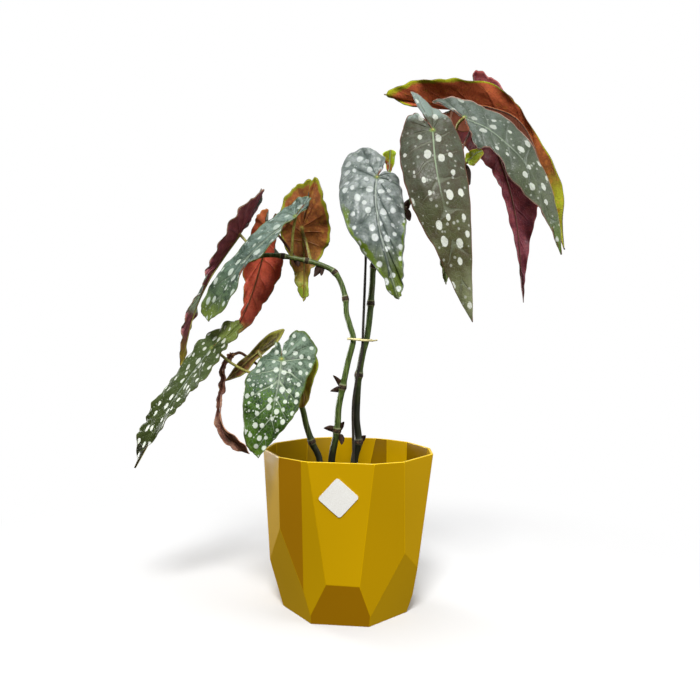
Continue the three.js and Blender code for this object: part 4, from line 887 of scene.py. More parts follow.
class LeafSkin:
    """One side of a leaf. It reads the sheet's own lines: along the midrib and across it in millimetres,
    outward from 0 at the midrib to 1 at the margin, and the number of side veins from the basal lobe."""

    def __init__(self, name, look, under):
        self.paint, self.look, self.under = Paint(name, look["tone"]), look, under
        paint = self.paint
        self.sheet = sheet = paint.stored("sheet")
        self.vein = paint.stored("vein", "Fac")
        self.along, self.across, self.outward = paint.split(sheet)
        self.broad = paint.noise(sheet, 0.045, 3.0)
        self.middle = paint.noise(sheet, 0.13, 3.0, 0.6)
        self.fine = paint.noise(sheet, 0.55, 4.0, 0.6)
        bent = self.vein + (paint.noise(sheet, 0.09, 1.0) - 0.5) * 0.28
        self.beside = 0.5 - abs(bent.fraction() - 0.5)
        end = look["rib_end"]
        middle = abs(self.across).ease(0.95, 0.35)
        self.rib = middle * self.along.ease(end, end * 0.35) * self.along.ease(-2.0, 1.0)

    def ground(self):
        """Base colour that changes towards the tip, dark mottling, a metallic bloom that is the leaf's own
        but fades beside the veins as painted light, brightest on the raised parts between them, the tip, and
        the patch and the fringe of the looks that have them. Returns the colour and the bloom."""
        mix, look, along, outward = self.paint.mix, self.look, self.along, self.outward
        broad, middle, fine = self.broad, self.middle, self.fine
        change = along + (broad - 0.5) * 30 + (fine - 0.5) * look["patchy"]
        colour = mix(change.ease(*look["reach"]), look["base"], look["far"])
        shadow = (broad * 0.35 + middle * 0.4 + fine * 0.25).ease(0.58, 0.40)
        colour = mix(shadow * look["mottle"], colour, look["dark"])
        # painted highlight: the bloom is strongest on the quilting's raised parts between the veins
        dome_highlight = self.beside.ease(0.02, 0.34) * 0.7 + 0.3
        bloom = along.ease(*look["bloom_reach"]) * (fine * 0.45 + middle * 0.75).ease(0.42, 0.74)
        bloom = bloom * dome_highlight * look["bloom"]
        colour = mix(bloom, colour, look["silver"])
        colour = mix((along + (middle - 0.5) * 12).ease(*look["tip_reach"]), colour, look["tip"])
        if "patch" in look:
            tint, *ends = look["patch"]
            patch = (along + (middle - 0.5) * 16).ease(*ends[:2]) * (along + (fine - 0.5) * 8).ease(*ends[2:])
            colour = mix(patch, colour, tint)
        if "edge" in look:
            tint, *ends = look["edge"]
            fringe = (outward + (broad - 0.5) * 0.9).ease(0.88, 0.96)
            fringe = fringe * (along + (middle - 0.5) * 20).ease(*ends)
            colour = mix(fringe, colour, tint)
        return colour, bloom

    def lines(self, colour):
        """Side veins with painted shade in the dips beside them, a fine net, painted shade in a narrow line
        beside the midrib, the midrib and the joint with the stalk. Returns the colour, the veins and the net."""
        paint, look, along, outward = self.paint, self.look, self.along, self.outward
        line = (self.beside * (outward * 0.85 + 0.15)).ease(0.030, 0.008) * outward.ease(0.95, 0.35)
        # painted shade in the dips beside the side veins
        vein_shade = self.beside.ease(0.20, 0.0) * outward.ease(0.02, 0.2) * outward.ease(1.0, 0.7)
        colour = paint.mix(vein_shade * look["vein_shade"], colour, look["dark"])
        mesh = paint.vector("MULTIPLY", self.sheet, (0.30, 0.36, 0))
        net = paint.cells(mesh, "DISTANCE_TO_EDGE")[0].ease(0.10, 0.02)
        colour = paint.mix((line * look["veins"] + net * look["net"]).least(0.9), colour, look["vein"])
        end = look["rib_end"]
        # painted shade in a line beside the midrib
        rib_shade = abs(self.across + 1.3).ease(0.8, 0.2) * along.ease(end, end * 0.5) * along.ease(2.0, 8.0)
        colour = paint.mix(rib_shade * look["rib_shade"], colour, look["dark"])
        colour = paint.mix(self.rib * 0.85, colour, look["rib"])
        flat = paint.vector("MULTIPLY", self.sheet, (1, 1, 0))
        joint = paint.vector("LENGTH", flat, output="Value").ease(3.2, 1.4)
        return paint.mix(joint * 0.8, colour, look["joint"]), line, net

    def ovals(self, cell, share, size, stretch, soft, wobble, randomness):
        """Oval spots: cells of the leaf's plane stretched along it; in a share of them a disc of its own
        size, its edge pushed about by noise."""
        paint = self.paint
        plane = paint.vector("MULTIPLY", self.sheet, (1 / (cell * stretch), 1 / cell, 0))
        push = paint.vector("MULTIPLY", paint.vector("ADD", wobble, (-0.5, -0.5, -0.5)), (0.10, 0.16, 0))
        distance, colour = paint.cells(paint.vector("ADD", plane, push), "F1", randomness)
        red, green, _ = paint.split(colour)
        reach = size * (0.62 + 0.5 * green) * red.ease(1.0 - share - 0.02, 1.0 - share + 0.1)
        return (reach - distance).ease(-soft, soft + 0.015)

    def spots(self, colour):
        """Spots and specks, which stop at the margin and the midrib and grow brighter towards the tip.
        Returns the colour and their mask."""
        look, along = self.look, self.along
        wobble = self.paint.noise(self.sheet, 0.22, 2.0, output=1)
        spots = self.ovals(*look["spots"], wobble, 0.55)
        specks = self.ovals(look["spots"][0] * 0.36, 0.28, 0.24, 1.2, 0.05, wobble, 1.0)
        specks = specks * look["specks"] * along.ease(*look["speck_reach"])
        mask = spots.most(specks) * self.outward.ease(0.98, 0.92) * (0.45 if self.under else 0.96)
        mask = mask * (1.0 - self.rib)
        bright = (0.36 + self.fine * 0.34 + along.ease(-5, 80) * 0.42).least(0.96)
        return self.paint.mix(mask * bright, colour, look["spot"], look["spot_tone"]), mask

    def margin(self, colour):
        """The margin's own colour, and the painted shade over the right half where the look has one."""
        look, width = self.look, self.look["rim_width"]
        rim = (self.outward + (self.middle - 0.5) * width * 1.6).ease(1 - width * 1.4, 1 - width * 0.6)
        colour = self.paint.mix(rim, colour, look["rim"])
        if "half" in look:
            # painted shade: the right half takes a darker colour
            right = self.vein.ease(RIGHT_HALF - 0.5, RIGHT_HALF + 0.5)
            colour = self.paint.mix(right, colour, look["half"])
        return colour

    def material(self):
        """The finished skin. Veins and net stand up on the under side and sink on the upper one."""
        colour, bloom = self.ground()
        colour, line, net = self.lines(colour)
        colour, mask = self.spots(colour)
        colour = self.margin(colour)
        roughness = self.look["rough"] + (self.fine - 0.5) * 0.22 - bloom * 0.08 + mask * 0.06
        side = 1.2 if self.under else -0.9
        lift = line * side + net * (side * 0.45) + self.fine * 0.5 + self.rib * (side * 1.5)
        return self.paint.finish(colour, roughness, self.paint.bump(lift, 0.32, 0.9),
                                 Specular_IOR_Level=self.look["gloss"], Subsurface_Weight=0.06,
                                 Subsurface_Scale=0.002, Subsurface_Radius=(0.6, 0.9, 0.3))


def grained_paint(name, tones, stretch, between, rough, relief, gloss, detail=4.0, grain=0.55, patch=None):
    """Two tones mixed by streaks, and patches of a third. stretch: the streaks' waves per millimetre along
    each axis. between: where the streaks pass from one tone to the other. rough: roughness, and what the
    streaks add to it. relief: their height in millimetres. detail, grain: how fine and how rough the
    streaks' noise is. patch: the scale and detail of its noise, where it begins and is full, its strength
    and its tone."""
    paint = Paint(name)
    here = paint.place()
    streak = paint.streaks(here, stretch, detail, grain)
    colour = paint.mix(streak.ease(*between), *tones)
    if patch:
        scale, fineness, begins, full, strength, tone = patch
        blotch = paint.noise(here, scale, fineness).ease(begins, full)
        colour = paint.mix(blotch * strength, colour, tone)
    roughness = rough[0] + streak * rough[1]
    return paint.finish(colour, roughness, paint.bump(streak, relief), Specular_IOR_Level=gloss)


def stalk_paint(name, young, old):
    """A leaf stalk: lengthwise streaks between two greens, with redder blotches, softly glossy."""
    return grained_paint(name, (old, young), stretch=(0.9, 0.9, 0.12), between=(0.36, 0.66),
                         rough=(0.36, 0.16), relief=0.08, gloss=0.35, detail=3.0,
                         patch=(0.14, 3.0, 0.55, 0.72, 0.35, (96, 62, 36)))


def bract_paint():
    """Dried bract: brown paper with darker lengthwise fibres and blotches."""
    return grained_paint("dried_bract", ((24, 15, 10), (62, 40, 26)), stretch=(1.8, 1.8, 0.35),
                         between=(0.34, 0.66), rough=(0.62, 0.2), relief=0.2, gloss=0.2,
                         patch=(0.3, 2.0, 0.5, 0.7, 0.6, (34, 22, 16)))


def label_paint():
    """White sticker paper: faint fibres and a slight satin coat."""
    return grained_paint("sticker_paper", ((222, 221, 216), (234, 234, 230)), stretch=(1.2, 1.2, 1.2),
                         between=(0.35, 0.7), rough=(0.42, 0.15), relief=0.02, gloss=0.45, grain=0.65,
                         patch=(0.06, 2.0, 0.45, 0.7, 0.2, (214, 212, 204)))


def stake_paint():
    """Blackened stick: dark stained grain along its length with paler worn streaks."""
    return grained_paint("stained_stick", ((18, 16, 12), (58, 50, 36)), stretch=(2.4, 2.4, 0.08),
                         between=(0.4, 0.72), rough=(0.5, 0.2), relief=0.12, gloss=0.4, grain=0.6)


def tie_paint():
    """Soft pale tie: paper-covered wire with smudges."""
    return grained_paint("pale_tie", ((226, 216, 160), (180, 168, 104)), stretch=(0.5, 0.5, 0.5),
                         between=(0.4, 0.75), rough=(0.55, 0.2), relief=0.06, gloss=0.4, grain=0.6)


def stem_paint(name, green, wood):
    """Cane: green skin with lengthwise ribs and pale flecks, dark woody foot, a black ring with a pale
    collar at each node; wood is the height where the dark foot ends. The piece carries its closeness to a
    node and its height."""
    paint = Paint(name)
    near, height = paint.stored("near", "Fac"), paint.stored("height", "Fac")
    here = paint.place()
    streak = paint.streaks(here, (1.1, 1.1, 0.10))
    blotch = paint.noise(here, 0.10, 3.0)
    colour = paint.mix(streak.ease(0.34, 0.68), (48, 63, 27), green)
    colour = paint.mix(blotch.ease(0.5, 0.74) * 0.55, colour, (72, 56, 38))
    woody = (height + (blotch - 0.5) * 46).ease(wood, wood * 0.5)
    colour = paint.mix(woody * 0.94, colour, (15, 14, 9))
    fleck = paint.cells(paint.vector("MULTIPLY", here, (0.55, 0.0, 0.28)))[0].ease(0.16, 0.08)
    colour = paint.mix(fleck * 0.35, colour, (150, 156, 112))
    collar = near.ease(0.30, 0.52) * near.ease(0.80, 0.64)
    colour = paint.mix(collar * (0.6 - woody * 0.42), colour, (150, 152, 112))
    crust = paint.noise(here, 0.9, 4.0, 0.65)
    ring = (near + (crust - 0.5) * 0.9).ease(0.55, 0.8)
    colour = paint.mix(ring * 0.94, colour, (34, 24, 16))
    colour = paint.mix(ring * crust.ease(0.5, 0.66), colour, (104, 76, 50))
    roughness = 0.34 + streak * 0.12 + ring * 0.3 + woody * 0.10
    relief = paint.bump(streak + blotch * 0.5 + ring * crust * 1.5, 0.22)
    return paint.finish(colour, roughness, relief, Specular_IOR_Level=0.28)


def pot_paint(name, tint, lighter, gloss=0.38, inner_shade=0.0, rim=False):
    """Moulded ochre plastic: even colour with slow drift, a fine orange-peel grain and soft handling marks
    in the gloss. lighter: the marks' colour. inner_shade: how much painted shade darkens the inside at the
    left. rim: whether the top edge is painted brighter as a highlight."""
    paint = Paint(name)
    here = paint.place()
    drift = paint.noise(here, 0.008, 1.0)
    grain = paint.noise(here, 1.6, 3.0, 0.6)
    marks = paint.streaks(here, (0.03, 0.03, 0.05), roughness=0.6)
    colour = paint.mix(drift.ease(0.3, 0.7), toned(tint, 0.95), tint)
    colour = paint.mix(marks.ease(0.62, 0.8) * 0.06, colour, lighter)
    x, _, z = paint.split(here)
    if rim:
        # painted highlight: the top edge is painted brighter
        colour = paint.mix(z.ease(POT_RIM - 1.6, POT_RIM - 0.9), colour, RIM_HIGHLIGHT)
    if inner_shade:
        # painted shade: the inside is darker at the left
        colour = paint.mix(x.ease(-11, -17) * inner_shade, colour, toned(tint, 0.35))
    roughness = 0.19 + grain * 0.03 + marks.ease(0.5, 0.8) * 0.06
    return paint.finish(colour, roughness, paint.bump(grain, 0.002, 0.3), Specular_IOR_Level=gloss)


def grower_pot_paint():
    """Thin black grower's-pot plastic with dust and rub marks round the wall."""
    paint = Paint("grower_pot_plastic")
    here = paint.place()
    rub = paint.streaks(here, (0.06, 0.06, 0.5), 5.0, 0.6)
    dust = paint.noise(here, 0.25, 4.0, 0.65)
    colour = paint.mix(rub.ease(0.45, 0.75), (20, 20, 20), (38, 37, 35))
    colour = paint.mix(dust.ease(0.58, 0.78) * 0.5, colour, (84, 70, 54))
    return paint.finish(colour, 0.42 + dust * 0.3, paint.bump(rub, 0.06), Specular_IOR_Level=0.5)


def soil_paint(name, dark, light, size=1.0):
    """Potting soil, its crumbs or perlite: a dark tone broken by a lighter one, and moist patches. size:
    that of the grain, in millimetres."""
    paint = Paint(name)
    here = paint.place()
    crumb = paint.noise(here, 0.5 / size, 5.0, 0.7)
    moist = paint.noise(here, 0.05, 2.0)
    colour = paint.mix(crumb.ease(0.38, 0.68), dark, light)
    colour = paint.mix(moist.ease(0.45, 0.65) * 0.5, colour, toned(dark, 0.6))
    pits = paint.noise(here, 1.4 / size, 4.0, 0.7)
    roughness = 0.95 - moist.ease(0.5, 0.7) * 0.2
    return paint.finish(colour, roughness, paint.bump(crumb + pits * 0.6, 0.9), Specular_IOR_Level=0.25)


def floor_paint():
    """Pale studio floor that passes into plain white light away from the pot."""
    paint = Paint("studio_white")
    far = paint.vector("LENGTH", paint.place(), output="Value").ease(120, 460)
    colour = paint.mix(far, (208, 208, 208), (0, 0, 0))
    paint.feed(paint.shader.inputs["Emission Color"], paint.mix(far, (0, 0, 0), (255, 255, 255)))
    return paint.finish(colour, 0.9, Specular_IOR_Level=0.0, Emission_Strength=1.0)


# The way towards the bright window behind the pot
WINDOW_WAY = (-0.64, 0.75, -0.15)


def white_room(sky):
    """Room light: dim and warm from below, brighter from above, and a small bright window behind at the
    left. The camera sees plain white. Heights and the window's edges are cosines of the direction."""
    world = bpy.data.worlds.new("white_room")
    room = Nodes(world, "Background")
    way = room.node("ShaderNodeTexCoord", output="Generated")
    height = room.split(way)[2]
    light = height.ramp(-0.15, 0.25, 0.24 * sky, sky)
    window = room.vector("DOT_PRODUCT", way, WINDOW_WAY, output="Value").ramp(0.962, 0.985, 0.0, 1.2 * sky)
    room.feed(room.shader.inputs["Strength"], light.most(window))
    warm, white = (1.0, 0.80, 0.50, 1.0), (1.0, 1.0, 1.0, 1.0)
    tints = {0: height.ramp(-0.2, 0.0), 6: warm, 7: white}
    room.feed(room.shader.inputs["Color"], room.node("ShaderNodeMix", {"data_type": "RGBA"}, tints, 2))
    backdrop = room.node("ShaderNodeBackground", None, {"Color": white})
    seen = room.node("ShaderNodeLightPath", output="Is Camera Ray")
    glow = Shade(room, room.shader.outputs[0])
    chosen = room.node("ShaderNodeMixShader", None, {0: seen, 1: glow, 2: backdrop})
    room.feed(room.tree.nodes["World Output"].inputs["Surface"], chosen)
    return world


# Settings that a user would change


class BegoniaPotSettings(bpy.types.PropertyGroup):
    ochre: bpy.props.FloatVectorProperty(
        name="Pot colour", description="Screen colour of the cover pot", subtype="COLOR", size=3,
        default=(194 / 255, 152 / 255, 0), min=0, max=1)
    edge_radius: bpy.props.FloatProperty(
        name="Edge rounding", description="Width of the rounding on the facets' edges", unit="LENGTH",
        default=0.9 * MM, min=0.1 * MM, max=1.8 * MM)


class BegoniaLeafSettings(bpy.types.PropertyGroup):
    thickness: bpy.props.FloatProperty(
        name="Blade thickness", description="Thickness of the leaf blades", unit="LENGTH",
        default=0.6 * MM, min=0.2 * MM, max=1.2 * MM)
    quilting: bpy.props.FloatProperty(
        name="Quilting", description="Height of the swelling between two veins", unit="LENGTH",
        default=1.1 * MM, min=0.0, max=1.5 * MM)
    ruffle: bpy.props.FloatProperty(
        name="Ruffle", description="Height of the small waves at the margin", unit="LENGTH",
        default=1.2 * MM, min=0.0, max=2.0 * MM)
    scallops: bpy.props.FloatProperty(
        name="Scallops", description="Depth of the margin's scallops", unit="LENGTH",
        default=1.5 * MM, min=0.0, max=3.0 * MM)


class BegoniaStemSettings(bpy.types.PropertyGroup):
    green: bpy.props.FloatVectorProperty(
        name="Cane colour", description="Screen colour of the green part of the canes", subtype="COLOR",
        size=3, default=(90 / 255, 112 / 255, 50 / 255), min=0, max=1)
    swelling: bpy.props.FloatProperty(
        name="Node swelling", description="How much thicker a cane is at a node", subtype="FACTOR",
        default=0.33, min=0, max=0.6)


class BegoniaSoilSettings(bpy.types.PropertyGroup):
    relief: bpy.props.FloatProperty(
        name="Soil relief", description="Height of the soil's lumps", unit="LENGTH",
        default=1.5 * MM, min=0.0, max=3 * MM)
    crumbs: bpy.props.IntProperty(
        name="Crumbs", description="Number of loose crumbs on the soil", default=420, min=0, max=900)
    grains: bpy.props.IntProperty(
        name="Perlite grains", description="Number of white grains on the soil", default=70, min=0, max=200)


class BegoniaStageSettings(bpy.types.PropertyGroup):
    key_power: bpy.props.FloatProperty(
        name="Key light", description="Power of the soft light above the front", unit="POWER",
        default=41.0, min=0)
    side_power: bpy.props.FloatProperty(
        name="Side light", description="Power of the soft light at the right", unit="POWER",
        default=9.5, min=0)
    edge_power: bpy.props.FloatProperty(
        name="Edge light", description="Power of the low light that shines along the left side", unit="POWER",
        default=18.0, min=0)
    top_power: bpy.props.FloatProperty(
        name="Top light", description="Power of the soft light overhead", unit="POWER", default=6.0, min=0)
    sky: bpy.props.FloatProperty(
        name="Room light", description="Strength of the white room light", subtype="FACTOR",
        default=0.42, min=0, max=3)


# Operators


class BEGONIA_OT_pot(bpy.types.Operator):
    """Cover pot: the frame's facets with rounded edges"""

    bl_idname = "begonia.pot"
    bl_label = "Cover pot"

    def execute(self, context):
        setting = context.scene.begonia_pot
        mesh = self.rounded(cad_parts["pot"], setting.edge_radius)
        paints = self.painted(mesh, as_rgb(setting.ochre))
        mesh.shade_smooth()
        piece = own("cover_pot", mesh, paints, ("pot",))
        shading = piece.modifiers.new("facet shading", "WEIGHTED_NORMAL")
        shading.keep_sharp = False
        return {"FINISHED"}

    @staticmethod
    def rounded(source, radius):
        """A copy of the frame's solid in the room's axes, its triangles joined to facets and its edges
        bevelled."""
        work = bmesh.new()
        work.from_mesh(source.data)
        work.transform(source.matrix_world)
        bmesh.ops.remove_doubles(work, verts=work.verts, dist=1e-5)
        bmesh.ops.dissolve_limit(work, angle_limit=np.radians(0.6), verts=work.verts, edges=work.edges)
        if any(len(edge.link_faces) != 2 for edge in work.edges):
            raise RuntimeError("the cover pot's facets don't close")
        bmesh.ops.bevel(work, geom=work.edges[:], offset=radius, segments=3, profile=0.5, affect="EDGES",
                        clamp_overlap=True, material=EDGE)
        bmesh.ops.recalc_face_normals(work, faces=work.faces)
        mesh = bpy.data.meshes.new("cover_pot")
        work.to_mesh(mesh)
        work.free()
        return mesh

    @staticmethod
    def painted(mesh, ochre):
        """Sorts the faces: the outside, the rounded edges with the level rim, whatever faces the axis, and
        the facets whose normals lie within about 8 degrees of a named one, which get darker copies of the
        pot's colour as painted shade. Returns the materials in that order."""
        count = len(mesh.polygons)
        normal, centre, kind = np.empty((count, 3)), np.empty((count, 3)), np.empty(count, np.int32)
        mesh.polygons.foreach_get("normal", normal.ravel())
        mesh.polygons.foreach_get("center", centre.ravel())
        mesh.polygons.foreach_get("material_index", kind)
        outward = (normal * centre)[:, :2].sum(axis=1)
        kind[(kind == OUTSIDE) & (outward < -0.1 * np.hypot(*centre[:, :2].T))] = INSIDE
        kind[(normal[:, 2] > 0.9) & (centre[:, 2] > (POT_RIM - 1) * MM)] = EDGE
        lighter = tuple(min(255, round(v * 1.04 + 6)) for v in ochre)
        paints = [pot_paint("ochre_plastic", ochre, lighter),
                  pot_paint("ochre_plastic_edge", ochre, lighter, gloss=0.15, rim=True),
                  # the inside is painted a little darker than the outside and darker still at the left, as
                  # painted shade
                  pot_paint("ochre_plastic_inside", toned(ochre, 0.97), ochre, inner_shade=0.4)]
        for name, facet in SHADED_FACETS.items():
            alike = (normal @ np.array(facet["normals"]).T > 0.99).any(axis=1)
            kind[alike & (kind == facet["start"])] = len(paints)
            # painted shade: the named facets take a darker copy of the pot's colour
            tint = toned(ochre, *facet["tone"])
            paints.append(pot_paint("ochre_plastic_" + name, tint, tint))
        mesh.polygons.foreach_set("material_index", kind)
        return paints


class BEGONIA_OT_label(bpy.types.Operator):
    """Bare white sticker on the front facet: the frame's own solid with sticker paper"""

    bl_idname = "begonia.label"
    bl_label = "Sticker"

    def execute(self, context):
        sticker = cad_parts["label"]
        sticker.data.materials.clear()
        sticker.data.materials.append(label_paint())
        return {"FINISHED"}


class BEGONIA_OT_grower_pot(bpy.types.Operator):
    """Grower's pot with a rolled rim, ribs under it and a thin wall"""

    bl_idname = "begonia.grower_pot"
    bl_label = "Grower's pot"

    def execute(self, context):
        points, faces = lathe(self.profile(GROWER_FOOT, GROWER_RIM), 120)
        height, angle = points[:, 2], np.arctan2(points[:, 1], points[:, 0])
        band = (height > GROWER_RIM - 8.8) & (height < GROWER_RIM - 2)
        count, rise = 40, 0.18
        ribs = rise * np.clip(np.sin(angle * count), 0, 1) * band
        radius = np.maximum(np.hypot(points[:, 0], points[:, 1]), 1e-9)
        points[:, :2] *= (1 + ribs / radius)[:, None]
        new_object("grower_pot", points, faces, (grower_pot_paint(),), ("nursery_pot",))
        return {"FINISHED"}

    @staticmethod
    def profile(low, top):
        """Radius and height from the middle of the foot up the outside, round the lip and down the inside.
        The wall widens evenly from 41 mm at the foot to 56.9 mm at the rim."""
        def wall(z):
            return 41 + (z - low) / (top - low) * (56.9 - 41)

        roll = np.linspace(-0.5 * np.pi, 0.5 * np.pi, 9)
        foot = [(0, low + 0.8), (30, low + 0.8), (33, low), (39.5, low), (wall(low + 1.5), low + 1.5)]
        outside = [(wall(top - 12), top - 12), (wall(top - 9.6), top - 9.6), (57.4, top - 9),
                   (57.6, top - 8.6), (57.7, top - 3)]
        lip = np.stack([57.3 + 0.95 * np.cos(roll), top - 1 + np.sin(roll)], 1)
        inside = [(56.7, top - 0.4), (wall(top - 4) - 1.4, top - 4), (wall(top - 12) - 1.2, top - 12)]
        bottom = [(wall(low + 3) - 1.2, low + 3), (38, low + 2), (0, low + 2)]
        return np.vstack([foot, outside, lip, inside, bottom])


class BEGONIA_OT_soil(bpy.types.Operator):
    """Potting soil: a lumpy disc, loose crumbs and perlite grains"""

    bl_idname = "begonia.soil"
    bl_label = "Soil"

    def execute(self, context):
        setting = context.scene.begonia_soil
        sides, low = 200, 5.8
        angle, r = circle(sides), np.linspace(0, SOIL_RADIUS, 90)
        x, y = r[:, None] * np.cos(angle), r[:, None] * np.sin(angle)
        top = np.stack([x, y, self.height(x, y, setting)], -1)
        wall = [(SOIL_RADIUS, SOIL_TOP - 4.0), (39.6, low), (0, low)]
        points = np.vstack([top.reshape(-1, 3), lathe(wall, sides)[0]])
        faces = grid_faces(len(r) + len(wall), sides, closed=True, flip=True)
        peat = soil_paint("peat", (38, 26, 18), (92, 66, 44))
        new_object("potting_soil", points, faces, (peat,), ("soil",))
        rng = np.random.default_rng(7)
        crumb = soil_paint("peat_crumb", (44, 30, 20), (108, 78, 52))
        self.scatter("soil_crumbs", setting.crumbs, (0.7, 2.0), rng, setting, crumb)
        grain = soil_paint("perlite_grain", (196, 190, 178), (236, 232, 224), 0.8)
        self.scatter("perlite", setting.grains, (0.6, 1.3), rng, setting, grain)
        return {"FINISHED"}

    @staticmethod
    def height(x, y, setting):
        """Soil level: long low waves, lumps and fine lumps, level at the wall."""
        inside = np.clip((SOIL_RADIUS - np.hypot(x, y)) / 4, 0, 1)
        lumps = 0.55 * waves(x, y, 30.0, 3) + 0.5 * waves(x, y, 6.0, 5) + 0.25 * waves(x, y, 2.4, 9)
        return SOIL_TOP + setting.relief / MM * lumps * inside

    def scatter(self, name, count, sizes, rng, setting, paint):
        """Small lumpy balls half sunk in the soil, clear of the canes and the stick: a sphere grid whose
        points move in or out at random, with a random scale along each axis."""
        if not count:
            return
        reach, clearance, lift = 50, 6.5, 0.25
        radius = reach * np.sqrt(rng.uniform(0, 1, count * 3))
        angle = rng.uniform(0, 2 * np.pi, count * 3)
        x, y = radius * np.cos(angle), radius * np.sin(angle)
        stands = np.array([*(stem["points"][1][:2] for stem in STEMS.values()), STAKE[1][:2]])
        clear = (np.hypot(x[:, None] - stands[:, 0], y[:, None] - stands[:, 1]) > clearance).all(axis=1)
        x, y = x[clear][:count], y[clear][:count]
        size = rng.uniform(*sizes, len(x)) * rng.uniform(0.6, 1.0, len(x))
        rows, columns = 6, 7
        around = np.linspace(0, np.pi, rows)
        ball, faces = lathe(np.stack([np.sin(around), -np.cos(around)], 1), columns)
        lumpy = 1 + rng.uniform(-0.22, 0.22, (len(x), rows, columns, 1))
        lumpy[:, [0, -1]] = 1.0
        scale = rng.uniform(0.6, 1.25, (len(x), 1, 1, 3)) * size[:, None, None, None]
        place = np.stack([x, y, self.height(x, y, setting) + lift * size], -1)[:, None, None]
        grains = ball.reshape(rows, columns, 3) * lumpy * scale + place
        points, faces = joined(*((grain.reshape(-1, 3), faces) for grain in grains))
        new_object(name, points, faces, (paint,))


class BEGONIA_OT_stems(bpy.types.Operator):
    """The three canes with their ringed nodes"""

    bl_idname = "begonia.stems"
    bl_label = "Canes"

    def execute(self, context):
        setting = context.scene.begonia_stem
        step, sides = 0.8, 22
        for name, stem in STEMS.items():
            cane = name.replace("stem", "cane")
            length = even_curve(stem["points"], 2)[1]
            path = even_curve(stem["points"], int(length / step))[0]
            radii, near = self.thickness(stem, np.linspace(0, length, len(path)), setting.swelling)
            ends, sizes = round_ends(path, radii)
            points, faces = sweep(ends, sizes, sides)
            near = np.pad(near, (len(ends) - len(path)) // 2, mode="edge")
            height = ends[:, 2] - SOIL_TOP
            values = {"near": np.repeat(near, sides), "height": np.repeat(height, sides)}
            skin = stem_paint(cane + "_skin", as_rgb(setting.green), stem["wood"])
            new_object(cane, points, faces, (skin,), (name,), values)
        return {"FINISHED"}

    @staticmethod
    def thickness(stem, run, swelling):
        """Radius and closeness to a node at places along a cane: it thins evenly to the top, swells round
        each node as a bell curve, has a narrow seam just above it, and is a little slimmer halfway between
        two nodes."""
        foot, top = stem["radius"]
        nodes = np.array(stem["nodes"], float)
        gap = run[:, None] - nodes
        near = np.exp(-((gap / 2.6) ** 2)).max(axis=1)
        seam = np.exp(-(((gap - 0.4) / 0.7) ** 2)).max(axis=1)
        joints = np.concatenate([[0], nodes, [run[-1]]])
        between = np.sin(np.pi * (np.interp(run, joints, np.arange(len(joints))) % 1))
        plain = foot + (top - foot) * run / run[-1]
        return plain * (0.97 + swelling * near - 0.10 * seam - 0.03 * between), near


class BEGONIA_OT_bracts(bpy.types.Operator):
    """Dried bracts at the nodes"""

    bl_idname = "begonia.bracts"
    bl_label = "Dried bracts"

    def execute(self, context):
        bracts = [bract for stem in STEMS.values() for bract in stem["bracts"]]
        points, faces = joined(*(self.scoop(*bract, seed) for seed, bract in enumerate(bracts)))
        piece = new_object("dried_bracts", points, faces, (bract_paint(),))
        wall = piece.modifiers.new("paper thickness", "SOLIDIFY")
        wall.thickness, wall.offset = 0.3 * MM, 0.0
        return {"FINISHED"}

    @staticmethod
    def scoop(start, end, half_width, seed):
        """A pointed scoop: width falls as a root towards the tip, the cross-section is an arc that closes
        up, and the line from node to tip sags and twists."""
        rng = np.random.default_rng(seed + 11)
        start, end = np.array(start, float), np.array(end, float)
        u, v = np.linspace(0, 1, 15)[:, None], np.linspace(-1, 1, 9)
        way = unit(end - start)
        side = unit(np.cross(way, (0.3, 1.0, 0.2)))
        up = np.cross(side, way)
        twist = rng.uniform(-0.9, 0.9) * u + rng.uniform(-0.4, 0.4)
        line = start + (end - start) * u + up * (np.sin(np.pi * u) * rng.uniform(0.5, 1.6))
        width = 1.9 * half_width * (1 - u) ** 0.55 * (0.75 + 0.5 * np.sin(np.pi * u**0.7))
        turn = v * (1.1 + 0.9 * u) + twist
        crinkle = 0.12 * np.sin(9 * u + 5 * v + seed)
        sideways, raised = width * np.sin(turn), width * ((1 - np.cos(turn)) * 0.7 + crinkle)
        points = line[:, None] + side * sideways[..., None] + up * raised[..., None]
        return points.reshape(-1, 3), grid_faces(*sideways.shape)


class BEGONIA_OT_stake(bpy.types.Operator):
    """Thin support stick beside the right cane"""

    bl_idname = "begonia.stake"
    bl_label = "Stake"

    def execute(self, context):
        path, length = even_curve(STAKE, 320)
        run = np.linspace(0, length, len(path))
        uneven = 1 - 0.06 * np.abs(waves(run, run * 0, 30.0, 2))
        radius, blunt = 1.15, 8
        radii = radius * uneven * np.interp(run, [0, length - blunt, length], [1, 1, 0.8])
        points, faces = sweep(*round_ends(path, radii), 14)
        new_object("support_stick", points, faces, (stake_paint(),), ("stake",))
        return {"FINISHED"}


class BEGONIA_OT_tie(bpy.types.Operator):
    """Pale tie round the canes and the stake, with a twisted end"""

    bl_idname = "begonia.tie"
    bl_label = "Tie"

    def execute(self, context):
        steps, sides = 12, 12
        loop = TIE + TIE[:3]
        spans = len(loop) - 1
        path = curve(loop, np.linspace(0, 1, spans * steps + 1))[steps:(spans - 1) * steps]
        tangent = unit(np.roll(path, -1, axis=0) - np.roll(path, 1, axis=0))
        side = unit(np.cross(tangent, (0, 0, 1)))
        up = np.cross(side, tangent)
        angle, half_width, half_height = circle(sides)[:, None], 0.55, 0.9
        ring = side[:, None] * (half_width * np.cos(angle)) + up[:, None] * (half_height * np.sin(angle))
        band = (path[:, None] + ring).reshape(-1, 3)
        faces = grid_faces(len(path), sides, closed=True, looped=True, flip=True)
        end, _ = even_curve(TIE_END, 24)
        radii = 0.62 + 0.12 * np.sin(np.linspace(0, 22, len(end)))
        points, faces = joined((band, faces), sweep(*round_ends(end, radii), sides))
        new_object("tie_loop", points, faces, (tie_paint(),), ("tie",))
        return {"FINISHED"}


